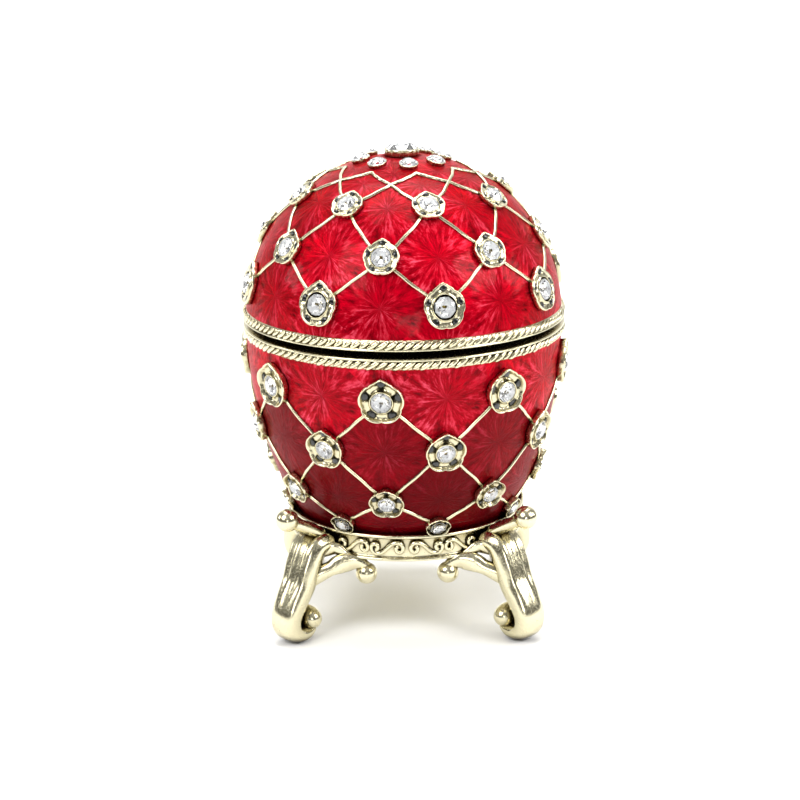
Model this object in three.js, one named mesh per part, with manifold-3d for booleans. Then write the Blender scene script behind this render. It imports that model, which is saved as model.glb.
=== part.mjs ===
// A hinged trinket box in the shape of an egg: an enamelled bowl and lid set with stones in
// flower cups, on a cast stand with four scrolled legs. Units are millimetres. The egg's axis
// is Z, the feet stand on Z = 0, the front faces -Y and the hinge is at the back, on +Y.
// An azimuth is in degrees, from the front towards +X. A height on the egg is from the seam.

import * as THREE from 'three';
import { mergeVertices } from 'three/addons/utils/BufferGeometryUtils.js';
import Module from 'manifold-3d';

const wasm = await Module();
wasm.setup();

// The egg
const EGG_RADIUS = 22.0;
const DOME_HEIGHT = 22.4;
const BOWL_SEMI_AXIS = 37.9;
const BOWL_DEPTH = 29.0;
const LID_WALL = 1.2;
const BOWL_WALL = 1.4;
const BOWL_FLOOR = 1.4;
const EGG_SIDES = 32;
const CAVITY_SIDES = 20;
const LID_CAVITY_SLOPES = [12, 28, 44, 60, 76];
const BOWL_CAVITY_STEPS = 5;

// The rope bands along the seam, and the lip that the lid closes over
const BAND_HEIGHT = 1.5;
const BAND_PROUD = 0.6;
const BAND_ROUNDING = 0.35;
const SEAM_CLEARANCE = 0.12;
const LIP_HEIGHT = 1.0;
const LIP_SETBACK = 2.3;
const LIP_INNER_RADIUS = EGG_RADIUS - LIP_SETBACK;
const LIP_WALL = 0.7;
const LIP_CLEARANCE = 0.35;

// The trellis of raised wires and the rows of flowers at its crossings
const COLUMNS = 8;
const HALF_PITCH = 180 / COLUMNS;
const WIRE_HEIGHT = 0.25;
const WAVY_SHARE = 0.2;
const WAVY_STEPS = 4;
const LID_FIRST_AZIMUTH = -31.0;
const BOWL_FIRST_AZIMUTH = -8.0;
const LID_ROWS = [
  { name: 'c', height: 0.25 * DOME_HEIGHT, flowerRadius: 3.3, stoneRadius: 1.4, notched: true },
  { name: 'b', height: 0.52 * DOME_HEIGHT, flowerRadius: 2.6, stoneRadius: 1.3, notched: true },
  { name: 'a', height: 0.775 * DOME_HEIGHT, flowerRadius: 2.4, stoneRadius: 1.25, notched: true },
];
const CROSSING_HEIGHT = 0.886 * DOME_HEIGHT;
const FORK_HEIGHT = 0.935 * DOME_HEIGHT;
const BOWL_ROWS = [
  { name: 'd', height: -5.8, flowerRadius: 3.4, stoneRadius: 1.35, notched: true },
  { name: 'e', height: -13.3, flowerRadius: 3.1, stoneRadius: 1.3, notched: true },
  { name: 'f', height: -20.9, flowerRadius: 2.6, stoneRadius: 1.2, notched: false },
  { name: 'g', height: -25.0, flowerRadius: 1.9, stoneRadius: 1.05, notched: false },
];

// A flower cup, and the stone that sits in it
const PETALS = 5;
const PETAL_NOTCH = 0.92;
const CUP_RIM_HEIGHT = 0.9;
const CUP_FLOOR_HEIGHT = 0.3;
const CUP_FLOOR_SHARE = 0.6;
const CUP_FOOT_SHARE = 0.82;
const STONE_SIDES = 6;
const STONE_HEIGHT = 0.9;
const STONE_TABLE_SHARE = 0.6;
const STONE_GAP = 0.05;

// The crown at the top of the lid
const CROWN_RING_RADIUS = 5.6;
const CROWN_FIRST_AZIMUTH = -36.0;
const CROWN_STONE_RADIUS = 1.2;
const CROWN_STONE_THICKNESS = 1.0;
const CROWN_STONE_GAP = 0.08;
const TOP_STONE_RADIUS = 2.25;
const TOP_STONE_HEIGHT = 1.3;
const TOP_BEZEL_WALL = 0.3;
const TOP_BEZEL_HEIGHT = 0.3;
const TOP_BEZEL_ROOT = 0.6;
const TOP_BEZEL_SIDES = 10;

// The hinge
const PIN_RADIUS = 0.5;
const PIN_HEAD_RADIUS = 0.85;
const PIN_HEAD_LENGTH = 0.5;
const PIN_CLEARANCE = 0.1;
const KNUCKLE_RADIUS = 1.1;
const KNUCKLE_OFFSET = 0.8;
const LID_KNUCKLE_LENGTH = 3.2;
const BOWL_KNUCKLE_LENGTH = 2.4;
const KNUCKLE_CLEARANCE = 0.3;
const KNUCKLE_SIDE_GAP = 0.2;
const HINGE_SIDES = 9;
const LID_AJAR = 1.1;

// The stand's collar
const COLLAR_TOP = 15.6;
const COLLAR_BOTTOM = 11.7;
const COLLAR_RIM_WALL = 0.75;
const COLLAR_RIM_HEIGHT = 0.7;
const COLLAR_RELIEF_DEPTH = 0.35;
const COLLAR_LEDGE_WIDTH = 3.0;
const COLLAR_TAPER = 0.5;
const COLLAR_SIDES = 30;
const BOWL_SEAT_GAP = 0.3;

// How far the bowl's flat bottom lies below the collar's upper edge, and the seam's height
const BOWL_SINK = 2.6;
const SEAM_HEIGHT = COLLAR_TOP - BOWL_SINK + BOWL_DEPTH;

// The legs. A reach is the distance from the collar's upper rim, outwards.
const LEGS = 4;
const LEG_FIRST_AZIMUTH = 45.0;
const LEG_SECTION_SIDES = 6;
const LEG_STATIONS = [
  { reach: -0.04, height: 13.9, thickness: 3.4, width: 5.6 },
  { reach: 1.86, height: 13.1, thickness: 4.0, width: 5.4 },
  { reach: 3.26, height: 10.8, thickness: 4.0, width: 5.2 },
  { reach: 4.26, height: 8.5, thickness: 3.9, width: 5.1 },
  { reach: 5.56, height: 6.4, thickness: 3.7, width: 4.8 },
  { reach: 6.76, height: 4.2, thickness: 3.3, width: 4.6 },
  { reach: 6.66, height: 2.3, thickness: 3.1, width: 4.6 },
  { reach: 5.06, height: 1.2, thickness: 2.8, width: 4.3 },
];
const FOOT_PAD_TRIM = 0.35;
const VOLUTE_RADIUS = 1.7;
const VOLUTE_WIDTH = 4.6;
const VOLUTE_SHARES = [[-1, 0.45], [-0.8, 1], [0.8, 1], [1, 0.45]];
const VOLUTE_AXIS_REACH = 3.86;
const VOLUTE_AXIS_HEIGHT = 2.3;
const ARM_STATIONS = [
  { reach: 0.06, height: 14.4, thickness: 2.2, width: 3.6 },
  { reach: 2.76, height: 16.1, thickness: 2.1, width: 2.7 },
  { reach: 5.76, height: 17.7, thickness: 1.8, width: 2.0 },
];
const BALL_RADIUS = 1.6;
const BALL_REACH = 0.3;
const BALL_RISE = 0.2;
const BALL_SIDES = 8;
const BALL_ROWS = 5;
const BRACKET_SECTION_SIDES = 4;
const BRACKET_STATIONS = [
  { turn: 3.0, reach: 3.16, height: 9.6, thickness: 3.2, width: 2.4 },
  { turn: 10.5, reach: 1.16, height: 10.5, thickness: 2.0, width: 1.7 },
  { turn: 17.0, reach: -0.34, height: 10.8, thickness: 2.0, width: 1.6 },
  { turn: 23.0, reach: -1.24, height: 10.7, thickness: 1.9, width: 1.6 },
];
const CURL_TURN = 23.7;
const CURL_AXIS_REACH = -1.44;
const CURL_HEIGHT = 9.4;
const CURL_RADIUS = 1.5;
const CURL_SIDES = 6;
const CURL_ROWS = 4;

// Finishes
const GOLD = new THREE.MeshStandardMaterial({ color: 0xd9cc94, roughness: 0.22, metalness: 1.0 });
const ENAMEL = new THREE.MeshStandardMaterial({ color: 0xb8001c, roughness: 0.12, metalness: 0.0 });
const CRYSTAL = new THREE.MeshStandardMaterial({ color: 0xf4f6fb, roughness: 0.03, metalness: 0.0 });

const radians = THREE.MathUtils.degToRad;

// Grid points closer than one part in this many count as the same point
const KEY_STEPS = 1e6;

// Directions on the plan, for an azimuth in degrees
function outward(azimuth) {
  return new THREE.Vector3(Math.sin(radians(azimuth)), -Math.cos(radians(azimuth)), 0);
}

function sideways(azimuth) {
  return new THREE.Vector3(Math.cos(radians(azimuth)), Math.sin(radians(azimuth)), 0);
}

// A point given by azimuth, distance from the axis and height above the floor
function standing(azimuth, radius, height) {
  return outward(azimuth).multiplyScalar(radius).setZ(height);
}

// Solids

function solidFromLists(positions, triangles) {
  return new wasm.Manifold(new wasm.Mesh({
    numProp: 3,
    vertProperties: new Float32Array(positions),
    triVerts: new Uint32Array(triangles),
  }));
}

function solidFromGeometry(geometry) {
  geometry.deleteAttribute('normal');
  geometry.deleteAttribute('uv');
  const merged = mergeVertices(geometry, 1e-4);
  return solidFromLists(merged.attributes.position.array, merged.index.array);
}

function geometryFromSolid(solid) {
  const { vertProperties, triVerts } = solid.getMesh();
  const geometry = new THREE.BufferGeometry();
  geometry.setAttribute('position', new THREE.BufferAttribute(new Float32Array(vertProperties), 3));
  geometry.setIndex(new THREE.BufferAttribute(new Uint32Array(triVerts), 1));
  geometry.computeVertexNormals();
  return geometry;
}

function joined(solids) {
  return solids.reduce((whole, solid) => whole.add(solid));
}

// A solid from rings of equally many points, closed by a flat face at each end.
// Seen from its last ring, each ring runs counterclockwise.
function stackOfRings(rings) {
  const count = rings[0].length;
  const positions = rings.flat().flatMap((point) => point.toArray());
  const triangles = [];
  for (let level = 0; level + 1 < rings.length; level += 1) {
    for (let k = 0; k < count; k += 1) {
      const here = level * count + k;
      const next = level * count + ((k + 1) % count);
      triangles.push(here, next, next + count, here, next + count, here + count);
    }
  }
  const last = (rings.length - 1) * count;
  for (let k = 1; k + 1 < count; k += 1) {
    triangles.push(0, k + 1, k, last, last + k, last + k + 1);
  }
  return solidFromLists(positions, triangles);
}

function circle(radius, height, sides, firstAzimuth = 0) {
  return Array.from({ length: sides }, (_, k) => (
    standing(firstAzimuth + (360 * k) / sides, radius, height)
  ));
}

// A solid of revolution about Z from a profile of [radius, height] pairs, bottom first
function turned(profile, sides) {
  return stackOfRings(profile.map(([radius, height]) => circle(radius, height, sides)));
}

// A closed ring about Z. Its profile runs up its outer side and down its inner side.
function turnedRing(profile, sides) {
  const positions = profile.flatMap(([radius, height]) => (
    circle(radius, height, sides).flatMap((point) => point.toArray())
  ));
  const triangles = [];
  for (let level = 0; level < profile.length; level += 1) {
    const above = (level + 1) % profile.length;
    for (let k = 0; k < sides; k += 1) {
      const next = (k + 1) % sides;
      triangles.push(level * sides + k, level * sides + next, above * sides + next);
      triangles.push(level * sides + k, above * sides + next, above * sides + k);
    }
  }
  return solidFromLists(positions, triangles);
}

// A round bar along X between two places
function barAlongX(radius, from, to, center, sides) {
  const ring = (x) => Array.from({ length: sides }, (_, k) => {
    const angle = (2 * Math.PI * (k + 0.5)) / sides;
    return new THREE.Vector3(x, center.y + radius * Math.cos(angle), center.z + radius * Math.sin(angle));
  });
  return stackOfRings([ring(from), ring(to)]);
}

function ball(center, radius, sides, rows) {
  const sphere = new THREE.SphereGeometry(radius, sides, rows);
  return solidFromGeometry(sphere.rotateX(Math.PI / 2).translate(center.x, center.y, center.z));
}

// A bar with a rounded section through stations of { at, across, thickness, width }
function sweptBar(stations, sides) {
  const rings = stations.map((station, n) => {
    const before = stations[Math.max(n - 1, 0)].at;
    const after = stations[Math.min(n + 1, stations.length - 1)].at;
    const along = after.clone().sub(before).normalize();
    const normal = station.across.clone().cross(along).normalize();
    const reach = 0.5 / Math.cos(Math.PI / sides);
    return Array.from({ length: sides }, (_, k) => {
      const angle = (2 * Math.PI * (k + 0.5)) / sides;
      return station.at.clone()
        .addScaledVector(normal, reach * station.thickness * Math.cos(angle))
        .addScaledVector(station.across, reach * station.width * Math.sin(angle));
    });
  });
  return stackOfRings(rings);
}

// The egg's surface

// A point on the lid's or the bowl's ellipse, with the directions east, north and out there
function onEgg(azimuth, slope, semiAxis, lift = 0) {
  const out = outward(azimuth).multiplyScalar(Math.cos(slope) / EGG_RADIUS);
  out.z = Math.sin(slope) / semiAxis;
  out.normalize();
  const at = standing(
    azimuth,
    EGG_RADIUS * Math.cos(slope),
    SEAM_HEIGHT + semiAxis * Math.sin(slope),
  ).addScaledVector(out, lift);
  const east = sideways(azimuth);
  return { at, out, east, north: out.clone().cross(east) };
}

function slopeAt(height, semiAxis) {
  return Math.asin(height / semiAxis);
}

// A place between two trellis rows, as a slope
function slopeOfRow(row, slopes) {
  const n = Math.min(Math.max(Math.floor(row), 0), slopes.length - 2);
  return slopes[n] + (row - n) * (slopes[n + 1] - slopes[n]);
}

// The outer skin of the lid or the bowl. The trellis lies on a slanted grid: p and q count
// half columns along the two sets of wires, p + q is the row and p - q gives the azimuth.
class TrellisSkin {
  constructor(semiAxis, rowHeights, firstAzimuth) {
    this.semiAxis = semiAxis;
    this.slopes = rowHeights.map((height) => slopeAt(height, semiAxis));
    this.firstAzimuth = firstAzimuth;
    this.cellRows = rowHeights.length - 2;
    this.downward = rowHeights[0] < 0;
    this.positions = [];
    this.triangles = [];
    this.known = new Map();
  }

  add(point) {
    this.positions.push(point.x, point.y, point.z);
    return this.positions.length / 3 - 1;
  }

  triangle(a, b, c) {
    this.triangles.push(...(this.downward ? [a, c, b] : [a, b, c]));
  }

  gridPoint(p, q) {
    const row = p + q;
    const turn = HALF_PITCH * (p - q);
    const steps = Math.round(turn * KEY_STEPS) + 360 * KEY_STEPS;
    const key = `${steps % (360 * KEY_STEPS)} ${Math.round(row * KEY_STEPS)}`;
    if (!this.known.has(key)) {
      const onWire = Number.isInteger(p) || Number.isInteger(q);
      const slope = slopeOfRow(row, this.slopes);
      const lift = onWire ? WIRE_HEIGHT : 0;
      this.known.set(key, this.add(onEgg(this.firstAzimuth + turn, slope, this.semiAxis, lift).at));
    }
    return this.known.get(key);
  }

  // Each cell is eight triangles that meet in its middle
  addCells() {
    const around = [[0, 0], [0.5, 0], [1, 0], [1, 0.5], [1, 1], [0.5, 1], [0, 1], [0, 0.5]];
    for (let cellRow = 0; cellRow < this.cellRows; cellRow += 1) {
      for (let column = 0; column < COLUMNS; column += 1) {
        const { p, q } = this.crossing(cellRow, column);
        const middle = this.gridPoint(p + 0.5, q + 0.5);
        const rim = around.map(([m, n]) => this.gridPoint(p + m, q + n));
        rim.forEach((index, k) => this.triangle(index, rim[(k + 1) % rim.length], middle));
      }
    }
  }

  // The grid place of a wire crossing in one row and column
  crossing(row, column) {
    return { p: Math.ceil(row / 2) + column, q: Math.floor(row / 2) - column };
  }

  // The zigzag edge of the trellis, between its first two rows or its last two
  edge(last) {
    const loop = [];
    const row = last ? this.slopes.length - 1 : 0;
    const add = (p, q) => loop.push({ turn: HALF_PITCH * (p - q), index: this.gridPoint(p, q) });
    for (let column = 0; column < COLUMNS; column += 1) {
      const { p, q } = this.crossing(row, column);
      for (const step of [0, 0.5]) {
        if (last) add(p, q - step);
        else add(p + step, q);
      }
      for (const step of [0, 0.5]) {
        if (last) add(p + step, q - 1);
        else add(p + 1, q - step);
      }
    }
    return loop;
  }

  // A loop at the same turns as the trellis's first edge, part of the way to it from a slope
  wavyLoop(startSlope, share) {
    const count = WAVY_STEPS * COLUMNS;
    return Array.from({ length: count }, (_, k) => {
      const turn = (360 * k) / count;
      const between = 1 - Math.abs(1 - (2 * (k % WAVY_STEPS)) / WAVY_STEPS);
      const edgeSlope = this.slopes[0] + between * (this.slopes[1] - this.slopes[0]);
      const slope = startSlope + share * (edgeSlope - startSlope);
      return { turn, index: this.add(onEgg(this.firstAzimuth + turn, slope, this.semiAxis).at) };
    });
  }

  ringLoop(radius, height, sides, origin = 0) {
    return Array.from({ length: sides }, (_, k) => {
      const turn = origin + (360 * k) / sides;
      const at = standing(this.firstAzimuth + turn, radius, SEAM_HEIGHT + height);
      return { turn, index: this.add(at) };
    });
  }

  // Triangles between two loops that run round the egg, the second one further along
  bridge(near, far) {
    const turnOf = (loop, n) => loop[n % loop.length].turn + 360 * Math.floor(n / loop.length);
    let i = 0;
    let j = 0;
    while (i < near.length || j < far.length) {
      const here = near[i % near.length].index;
      const there = far[j % far.length].index;
      const nearIsNext = turnOf(near, i + 1) <= turnOf(far, j + 1);
      if (j >= far.length || (i < near.length && nearIsNext)) {
        this.triangle(here, near[(i + 1) % near.length].index, there);
        i += 1;
      } else {
        this.triangle(here, far[(j + 1) % far.length].index, there);
        j += 1;
      }
    }
  }

  cap(loop, height, closesFar) {
    const center = this.add(new THREE.Vector3(0, 0, SEAM_HEIGHT + height));
    loop.forEach((entry, k) => {
      const next = loop[(k + 1) % loop.length].index;
      if (closesFar) this.triangle(entry.index, next, center);
      else this.triangle(next, entry.index, center);
    });
  }

  // Replaces the skin round a wire crossing by a stack of rings that rises from it
  raise(row, column, rings) {
    const { p, q } = this.crossing(row, column);
    const node = this.gridPoint(p, q);
    const after = new Map();
    const kept = [];
    for (let n = 0; n < this.triangles.length; n += 3) {
      const corners = this.triangles.slice(n, n + 3);
      const at = corners.indexOf(node);
      if (at < 0) kept.push(...corners);
      else after.set(corners[(at + 1) % 3], corners[(at + 2) % 3]);
    }
    this.triangles = kept;
    const link = [after.keys().next().value];
    while (link.length < after.size) link.push(after.get(link[link.length - 1]));
    const loops = rings.map((ring) => ring.map((point) => this.add(point)));
    this.fillRound(link, loops[0], rings);
    for (let level = 0; level + 1 < loops.length; level += 1) {
      loops[level].forEach((here, k) => {
        const next = (k + 1) % loops[level].length;
        this.triangles.push(here, loops[level][next], loops[level + 1][next]);
        this.triangles.push(here, loops[level + 1][next], loops[level + 1][k]);
      });
    }
    const top = loops[loops.length - 1];
    for (let k = 1; k + 1 < top.length; k += 1) this.triangles.push(top[0], top[k], top[k + 1]);
  }

  // Triangles between the skin's open loop round a crossing and the first ring raised there
  fillRound(link, foot, rings) {
    const center = rings[0].reduce((sum, point) => sum.add(point), new THREE.Vector3())
      .divideScalar(foot.length);
    const first = rings[0][0].clone().sub(center);
    const out = first.clone().cross(rings[0][1].clone().sub(center)).normalize();
    const left = out.clone().cross(first);
    const angleOf = (index) => {
      const arm = new THREE.Vector3().fromArray(this.positions, 3 * index).sub(center);
      const angle = Math.atan2(arm.dot(left), arm.dot(first));
      return angle < -1e-6 ? angle + 2 * Math.PI : angle;
    };
    const outer = link.map((index) => ({ index, angle: angleOf(index) }));
    const inner = foot.map((index) => ({ index, angle: angleOf(index) }));
    while (outer[0].angle !== Math.min(...outer.map((entry) => entry.angle))) {
      outer.push(outer.shift());
    }
    const angleAt = (loop, n) => loop[n % loop.length].angle + 2 * Math.PI * Math.floor(n / loop.length);
    let i = 0;
    let j = 0;
    while (i < outer.length || j < inner.length) {
      const here = outer[i % outer.length].index;
      const there = inner[j % inner.length].index;
      const outerIsNext = angleAt(outer, i + 1) <= angleAt(inner, j + 1);
      if (j >= inner.length || (i < outer.length && outerIsNext)) {
        this.triangles.push(here, outer[(i + 1) % outer.length].index, there);
        i += 1;
      } else {
        this.triangles.push(here, inner[(j + 1) % inner.length].index, there);
        j += 1;
      }
    }
  }

  solid() {
    return solidFromLists(this.positions, this.triangles);
  }
}

// The band's profile from the seam to the enamel, as [radius, distance from the seam]
function bandProfile() {
  return [
    [EGG_RADIUS + BAND_PROUD - BAND_ROUNDING, 0],
    [EGG_RADIUS + BAND_PROUD, BAND_ROUNDING],
    [EGG_RADIUS + BAND_PROUD, BAND_HEIGHT - BAND_ROUNDING],
  ];
}

// The enamel edge of the band, on the egg's own surface
function bandEdge(skin, sign) {
  const slope = slopeAt(sign * BAND_HEIGHT, skin.semiAxis);
  return { slope, radius: EGG_RADIUS * Math.cos(slope) };
}

function lidSkin() {
  const heights = [...LID_ROWS.map((row) => row.height), CROSSING_HEIGHT, FORK_HEIGHT];
  const skin = new TrellisSkin(DOME_HEIGHT, heights, LID_FIRST_AZIMUTH);
  const edge = bandEdge(skin, 1);
  const rings = [...bandProfile(), [edge.radius, BAND_HEIGHT]].map(([radius, height]) => (
    skin.ringLoop(radius, height + SEAM_CLEARANCE, EGG_SIDES)
  ));
  skin.cap(rings[0], SEAM_CLEARANCE, false);
  for (let n = 0; n + 1 < rings.length; n += 1) skin.bridge(rings[n], rings[n + 1]);
  const wavy = skin.wavyLoop(edge.slope, WAVY_SHARE);
  skin.bridge(rings[rings.length - 1], wavy);
  skin.bridge(wavy, skin.edge(false));
  skin.addCells();
  const crownHeight = (DOME_HEIGHT + FORK_HEIGHT) / 2;
  const crownRadius = EGG_RADIUS * Math.cos(slopeAt(crownHeight, DOME_HEIGHT));
  const crown = skin.ringLoop(crownRadius, crownHeight, 2 * COLUMNS);
  skin.bridge(skin.edge(true), crown);
  skin.cap(crown, DOME_HEIGHT, true);
  raiseFlowers(skin, LID_ROWS);
  return skin.solid();
}

function bowlSkin() {
  const skin = new TrellisSkin(BOWL_SEMI_AXIS, BOWL_ROWS.map((row) => row.height), BOWL_FIRST_AZIMUTH);
  const edge = bandEdge(skin, -1);
  const rings = [...bandProfile(), [edge.radius, BAND_HEIGHT]].map(([radius, drop]) => (
    skin.ringLoop(radius, -drop, EGG_SIDES)
  ));
  skin.cap(rings[0], 0, false);
  for (let n = 0; n + 1 < rings.length; n += 1) skin.bridge(rings[n], rings[n + 1]);
  const wavy = skin.wavyLoop(edge.slope, WAVY_SHARE);
  skin.bridge(rings[rings.length - 1], wavy);
  skin.bridge(wavy, skin.edge(false));
  skin.addCells();
  const bottomRadius = EGG_RADIUS * Math.cos(slopeAt(BOWL_DEPTH, BOWL_SEMI_AXIS));
  const bottom = skin.ringLoop(bottomRadius, -BOWL_DEPTH, EGG_SIDES, HALF_PITCH);
  skin.bridge(skin.edge(true), bottom);
  skin.cap(bottom, -BOWL_DEPTH, true);
  raiseFlowers(skin, BOWL_ROWS);
  return skin.solid();
}

// Flower cups and stones

function roundOutline(place, radius, sides, lift) {
  return Array.from({ length: sides }, (_, k) => {
    const angle = Math.PI / 2 + (2 * Math.PI * k) / sides;
    return place.at.clone()
      .addScaledVector(place.east, radius * Math.cos(angle))
      .addScaledVector(place.north, radius * Math.sin(angle))
      .addScaledVector(place.out, lift);
  });
}

// An outline with a notch between each two petals
function petalOutline(place, radius, lift) {
  const petals = roundOutline(place, radius, 2 * PETALS, lift);
  const notches = roundOutline(place, radius * PETAL_NOTCH, 2 * PETALS, lift);
  return petals.map((point, k) => (k % 2 ? notches[k] : point));
}

// The rings of a flower cup, from its foot on the egg over its open rim to its flat floor.
// The small cups of the lowest rows have one side for each petal and their stone as well.
function flowerCup(place, row) {
  const { flowerRadius, stoneRadius } = row;
  if (row.notched) {
    return [
      petalOutline(place, flowerRadius * CUP_FOOT_SHARE, 0),
      petalOutline(place, flowerRadius, CUP_RIM_HEIGHT),
      roundOutline(place, flowerRadius * CUP_FLOOR_SHARE, 2 * PETALS, CUP_FLOOR_HEIGHT),
    ];
  }
  return [
    roundOutline(place, flowerRadius * CUP_FOOT_SHARE, PETALS, 0),
    roundOutline(place, flowerRadius, PETALS, CUP_RIM_HEIGHT),
    roundOutline(place, stoneRadius, PETALS, CUP_FLOOR_HEIGHT),
    roundOutline(place, stoneRadius * STONE_TABLE_SHARE, PETALS, CUP_FLOOR_HEIGHT + STONE_HEIGHT),
  ];
}

function raiseFlowers(skin, rows) {
  rows.forEach((row, rowNumber) => {
    flowerPlaces(row, rowNumber, skin.semiAxis, skin.firstAzimuth).forEach((place, column) => {
      skin.raise(rowNumber, column, flowerCup(place, row));
    });
  });
}

// A cut stone with its table outwards, on a seat at a given lift
function cutStone(place, radius, height, seat) {
  return stackOfRings([
    roundOutline(place, radius, STONE_SIDES, seat),
    roundOutline(place, radius * STONE_TABLE_SHARE, STONE_SIDES, seat + height),
  ]);
}

// The places of the flowers in one trellis row, counted from the first row of its half
function flowerPlaces(row, rowNumber, semiAxis, firstAzimuth) {
  const start = firstAzimuth + HALF_PITCH * (rowNumber % 2);
  const slope = slopeAt(row.height, semiAxis);
  return Array.from({ length: COLUMNS }, (_, k) => (
    onEgg(start + 2 * HALF_PITCH * k, slope, semiAxis)
  ));
}

function crownPlaces() {
  const slope = Math.acos(CROWN_RING_RADIUS / EGG_RADIUS);
  return Array.from({ length: COLUMNS }, (_, k) => (
    onEgg(CROWN_FIRST_AZIMUTH + 2 * HALF_PITCH * k, slope, DOME_HEIGHT)
  ));
}

const apex = {
  at: new THREE.Vector3(0, 0, SEAM_HEIGHT + DOME_HEIGHT),
  out: new THREE.Vector3(0, 0, 1),
  east: new THREE.Vector3(1, 0, 0),
  north: new THREE.Vector3(0, 1, 0),
};

// The round setting that carries the top stone
function topBezel() {
  const radius = TOP_STONE_RADIUS + TOP_BEZEL_WALL;
  return stackOfRings([
    roundOutline(apex, radius, TOP_BEZEL_SIDES, -TOP_BEZEL_ROOT),
    roundOutline(apex, radius, TOP_BEZEL_SIDES, TOP_BEZEL_HEIGHT),
  ]);
}

// The hinge

const pinCenter = new THREE.Vector3(
  0,
  EGG_RADIUS + KNUCKLE_OFFSET,
  SEAM_HEIGHT + SEAM_CLEARANCE / 2,
);
const lidKnuckleEnd = LID_KNUCKLE_LENGTH / 2;
const bowlKnuckleStart = lidKnuckleEnd + KNUCKLE_SIDE_GAP;
const bowlKnuckleEnd = bowlKnuckleStart + BOWL_KNUCKLE_LENGTH;

function hingeBar(radius, from, to) {
  return barAlongX(radius, from, to, pinCenter, HINGE_SIDES);
}

function pinBore() {
  const reach = bowlKnuckleEnd + PIN_HEAD_LENGTH;
  return hingeBar(PIN_RADIUS + PIN_CLEARANCE, -reach, reach);
}

// The lid's middle knuckle, and the room that the bowl leaves for it
function lidKnuckle() {
  return hingeBar(KNUCKLE_RADIUS, -lidKnuckleEnd, lidKnuckleEnd);
}

function roomForLidKnuckle() {
  return hingeBar(KNUCKLE_RADIUS + KNUCKLE_CLEARANCE, -bowlKnuckleStart, bowlKnuckleStart);
}

// The bowl's two outer knuckles, and the room that the lid leaves for them and the pin heads
function bowlKnuckles() {
  return hingeBar(KNUCKLE_RADIUS, bowlKnuckleStart, bowlKnuckleEnd)
    .add(hingeBar(KNUCKLE_RADIUS, -bowlKnuckleEnd, -bowlKnuckleStart));
}

function roomForBowlKnuckles() {
  const radius = KNUCKLE_RADIUS + KNUCKLE_CLEARANCE;
  const end = bowlKnuckleEnd + 2 * KNUCKLE_SIDE_GAP + PIN_HEAD_LENGTH;
  return hingeBar(radius, lidKnuckleEnd, end).add(hingeBar(radius, -end, -lidKnuckleEnd));
}

// The room that the bowl's band leaves for the pin's heads
function roomForPinHeads() {
  const radius = PIN_HEAD_RADIUS + PIN_CLEARANCE;
  const end = bowlKnuckleEnd + 2 * KNUCKLE_SIDE_GAP + PIN_HEAD_LENGTH;
  return hingeBar(radius, bowlKnuckleEnd, end).add(hingeBar(radius, -end, -bowlKnuckleEnd));
}

function hingePin() {
  const shoulder = bowlKnuckleEnd + PIN_CLEARANCE;
  const end = shoulder + PIN_HEAD_LENGTH;
  return joined([
    hingeBar(PIN_RADIUS, -end, end),
    hingeBar(PIN_HEAD_RADIUS, shoulder, end),
    hingeBar(PIN_HEAD_RADIUS, -end, -shoulder),
  ]);
}

// The two shells

function lidCavity() {
  const rim = LIP_INNER_RADIUS + LIP_WALL + LIP_CLEARANCE;
  const profile = [[rim, SEAM_HEIGHT]];
  const inner = { radius: EGG_RADIUS - LID_WALL, semiAxis: DOME_HEIGHT - LID_WALL };
  for (const slope of LID_CAVITY_SLOPES) {
    profile.push([
      Math.min(rim, inner.radius * Math.cos(radians(slope))),
      SEAM_HEIGHT + inner.semiAxis * Math.sin(radians(slope)),
    ]);
  }
  return turned(profile, CAVITY_SIDES);
}

function lidShell() {
  return lidSkin().add(topBezel())
    .subtract(lidCavity())
    .subtract(roomForBowlKnuckles())
    .add(lidKnuckle())
    .subtract(pinBore());
}

// The height, from the seam, at which the bowl's inner ellipse meets the lip's inner wall
function bowlCavityShoulder(inner) {
  return -inner.semiAxis * Math.sqrt(1 - (LIP_INNER_RADIUS / inner.radius) ** 2);
}

function bowlCavity() {
  const inner = { radius: EGG_RADIUS - BOWL_WALL, semiAxis: BOWL_SEMI_AXIS - BOWL_WALL };
  const floorSlope = -slopeAt(BOWL_DEPTH - BOWL_FLOOR, inner.semiAxis);
  const shoulderSlope = slopeAt(bowlCavityShoulder(inner), inner.semiAxis);
  const profile = [];
  for (let n = 0; n <= BOWL_CAVITY_STEPS; n += 1) {
    const slope = floorSlope + (n / BOWL_CAVITY_STEPS) * (shoulderSlope - floorSlope);
    profile.push([
      inner.radius * Math.cos(slope),
      SEAM_HEIGHT + inner.semiAxis * Math.sin(slope),
    ]);
  }
  profile.push([LIP_INNER_RADIUS, SEAM_HEIGHT + 2 * LIP_HEIGHT]);
  return turned(profile, CAVITY_SIDES);
}

function lip() {
  const outer = LIP_INNER_RADIUS + LIP_WALL;
  return turned([[outer, SEAM_HEIGHT - BAND_HEIGHT], [outer, SEAM_HEIGHT + LIP_HEIGHT]], CAVITY_SIDES);
}

// The lowest flowers stop just above the stand's collar
function roomForCollar() {
  const inner = bowlRadiusAt(COLLAR_TOP) + BOWL_SEAT_GAP / 2;
  const top = COLLAR_TOP + BOWL_SEAT_GAP;
  return turnedRing([
    [inner, COLLAR_BOTTOM],
    [2 * EGG_RADIUS, COLLAR_BOTTOM],
    [2 * EGG_RADIUS, top],
    [inner, top],
  ], COLLAR_SIDES);
}

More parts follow.
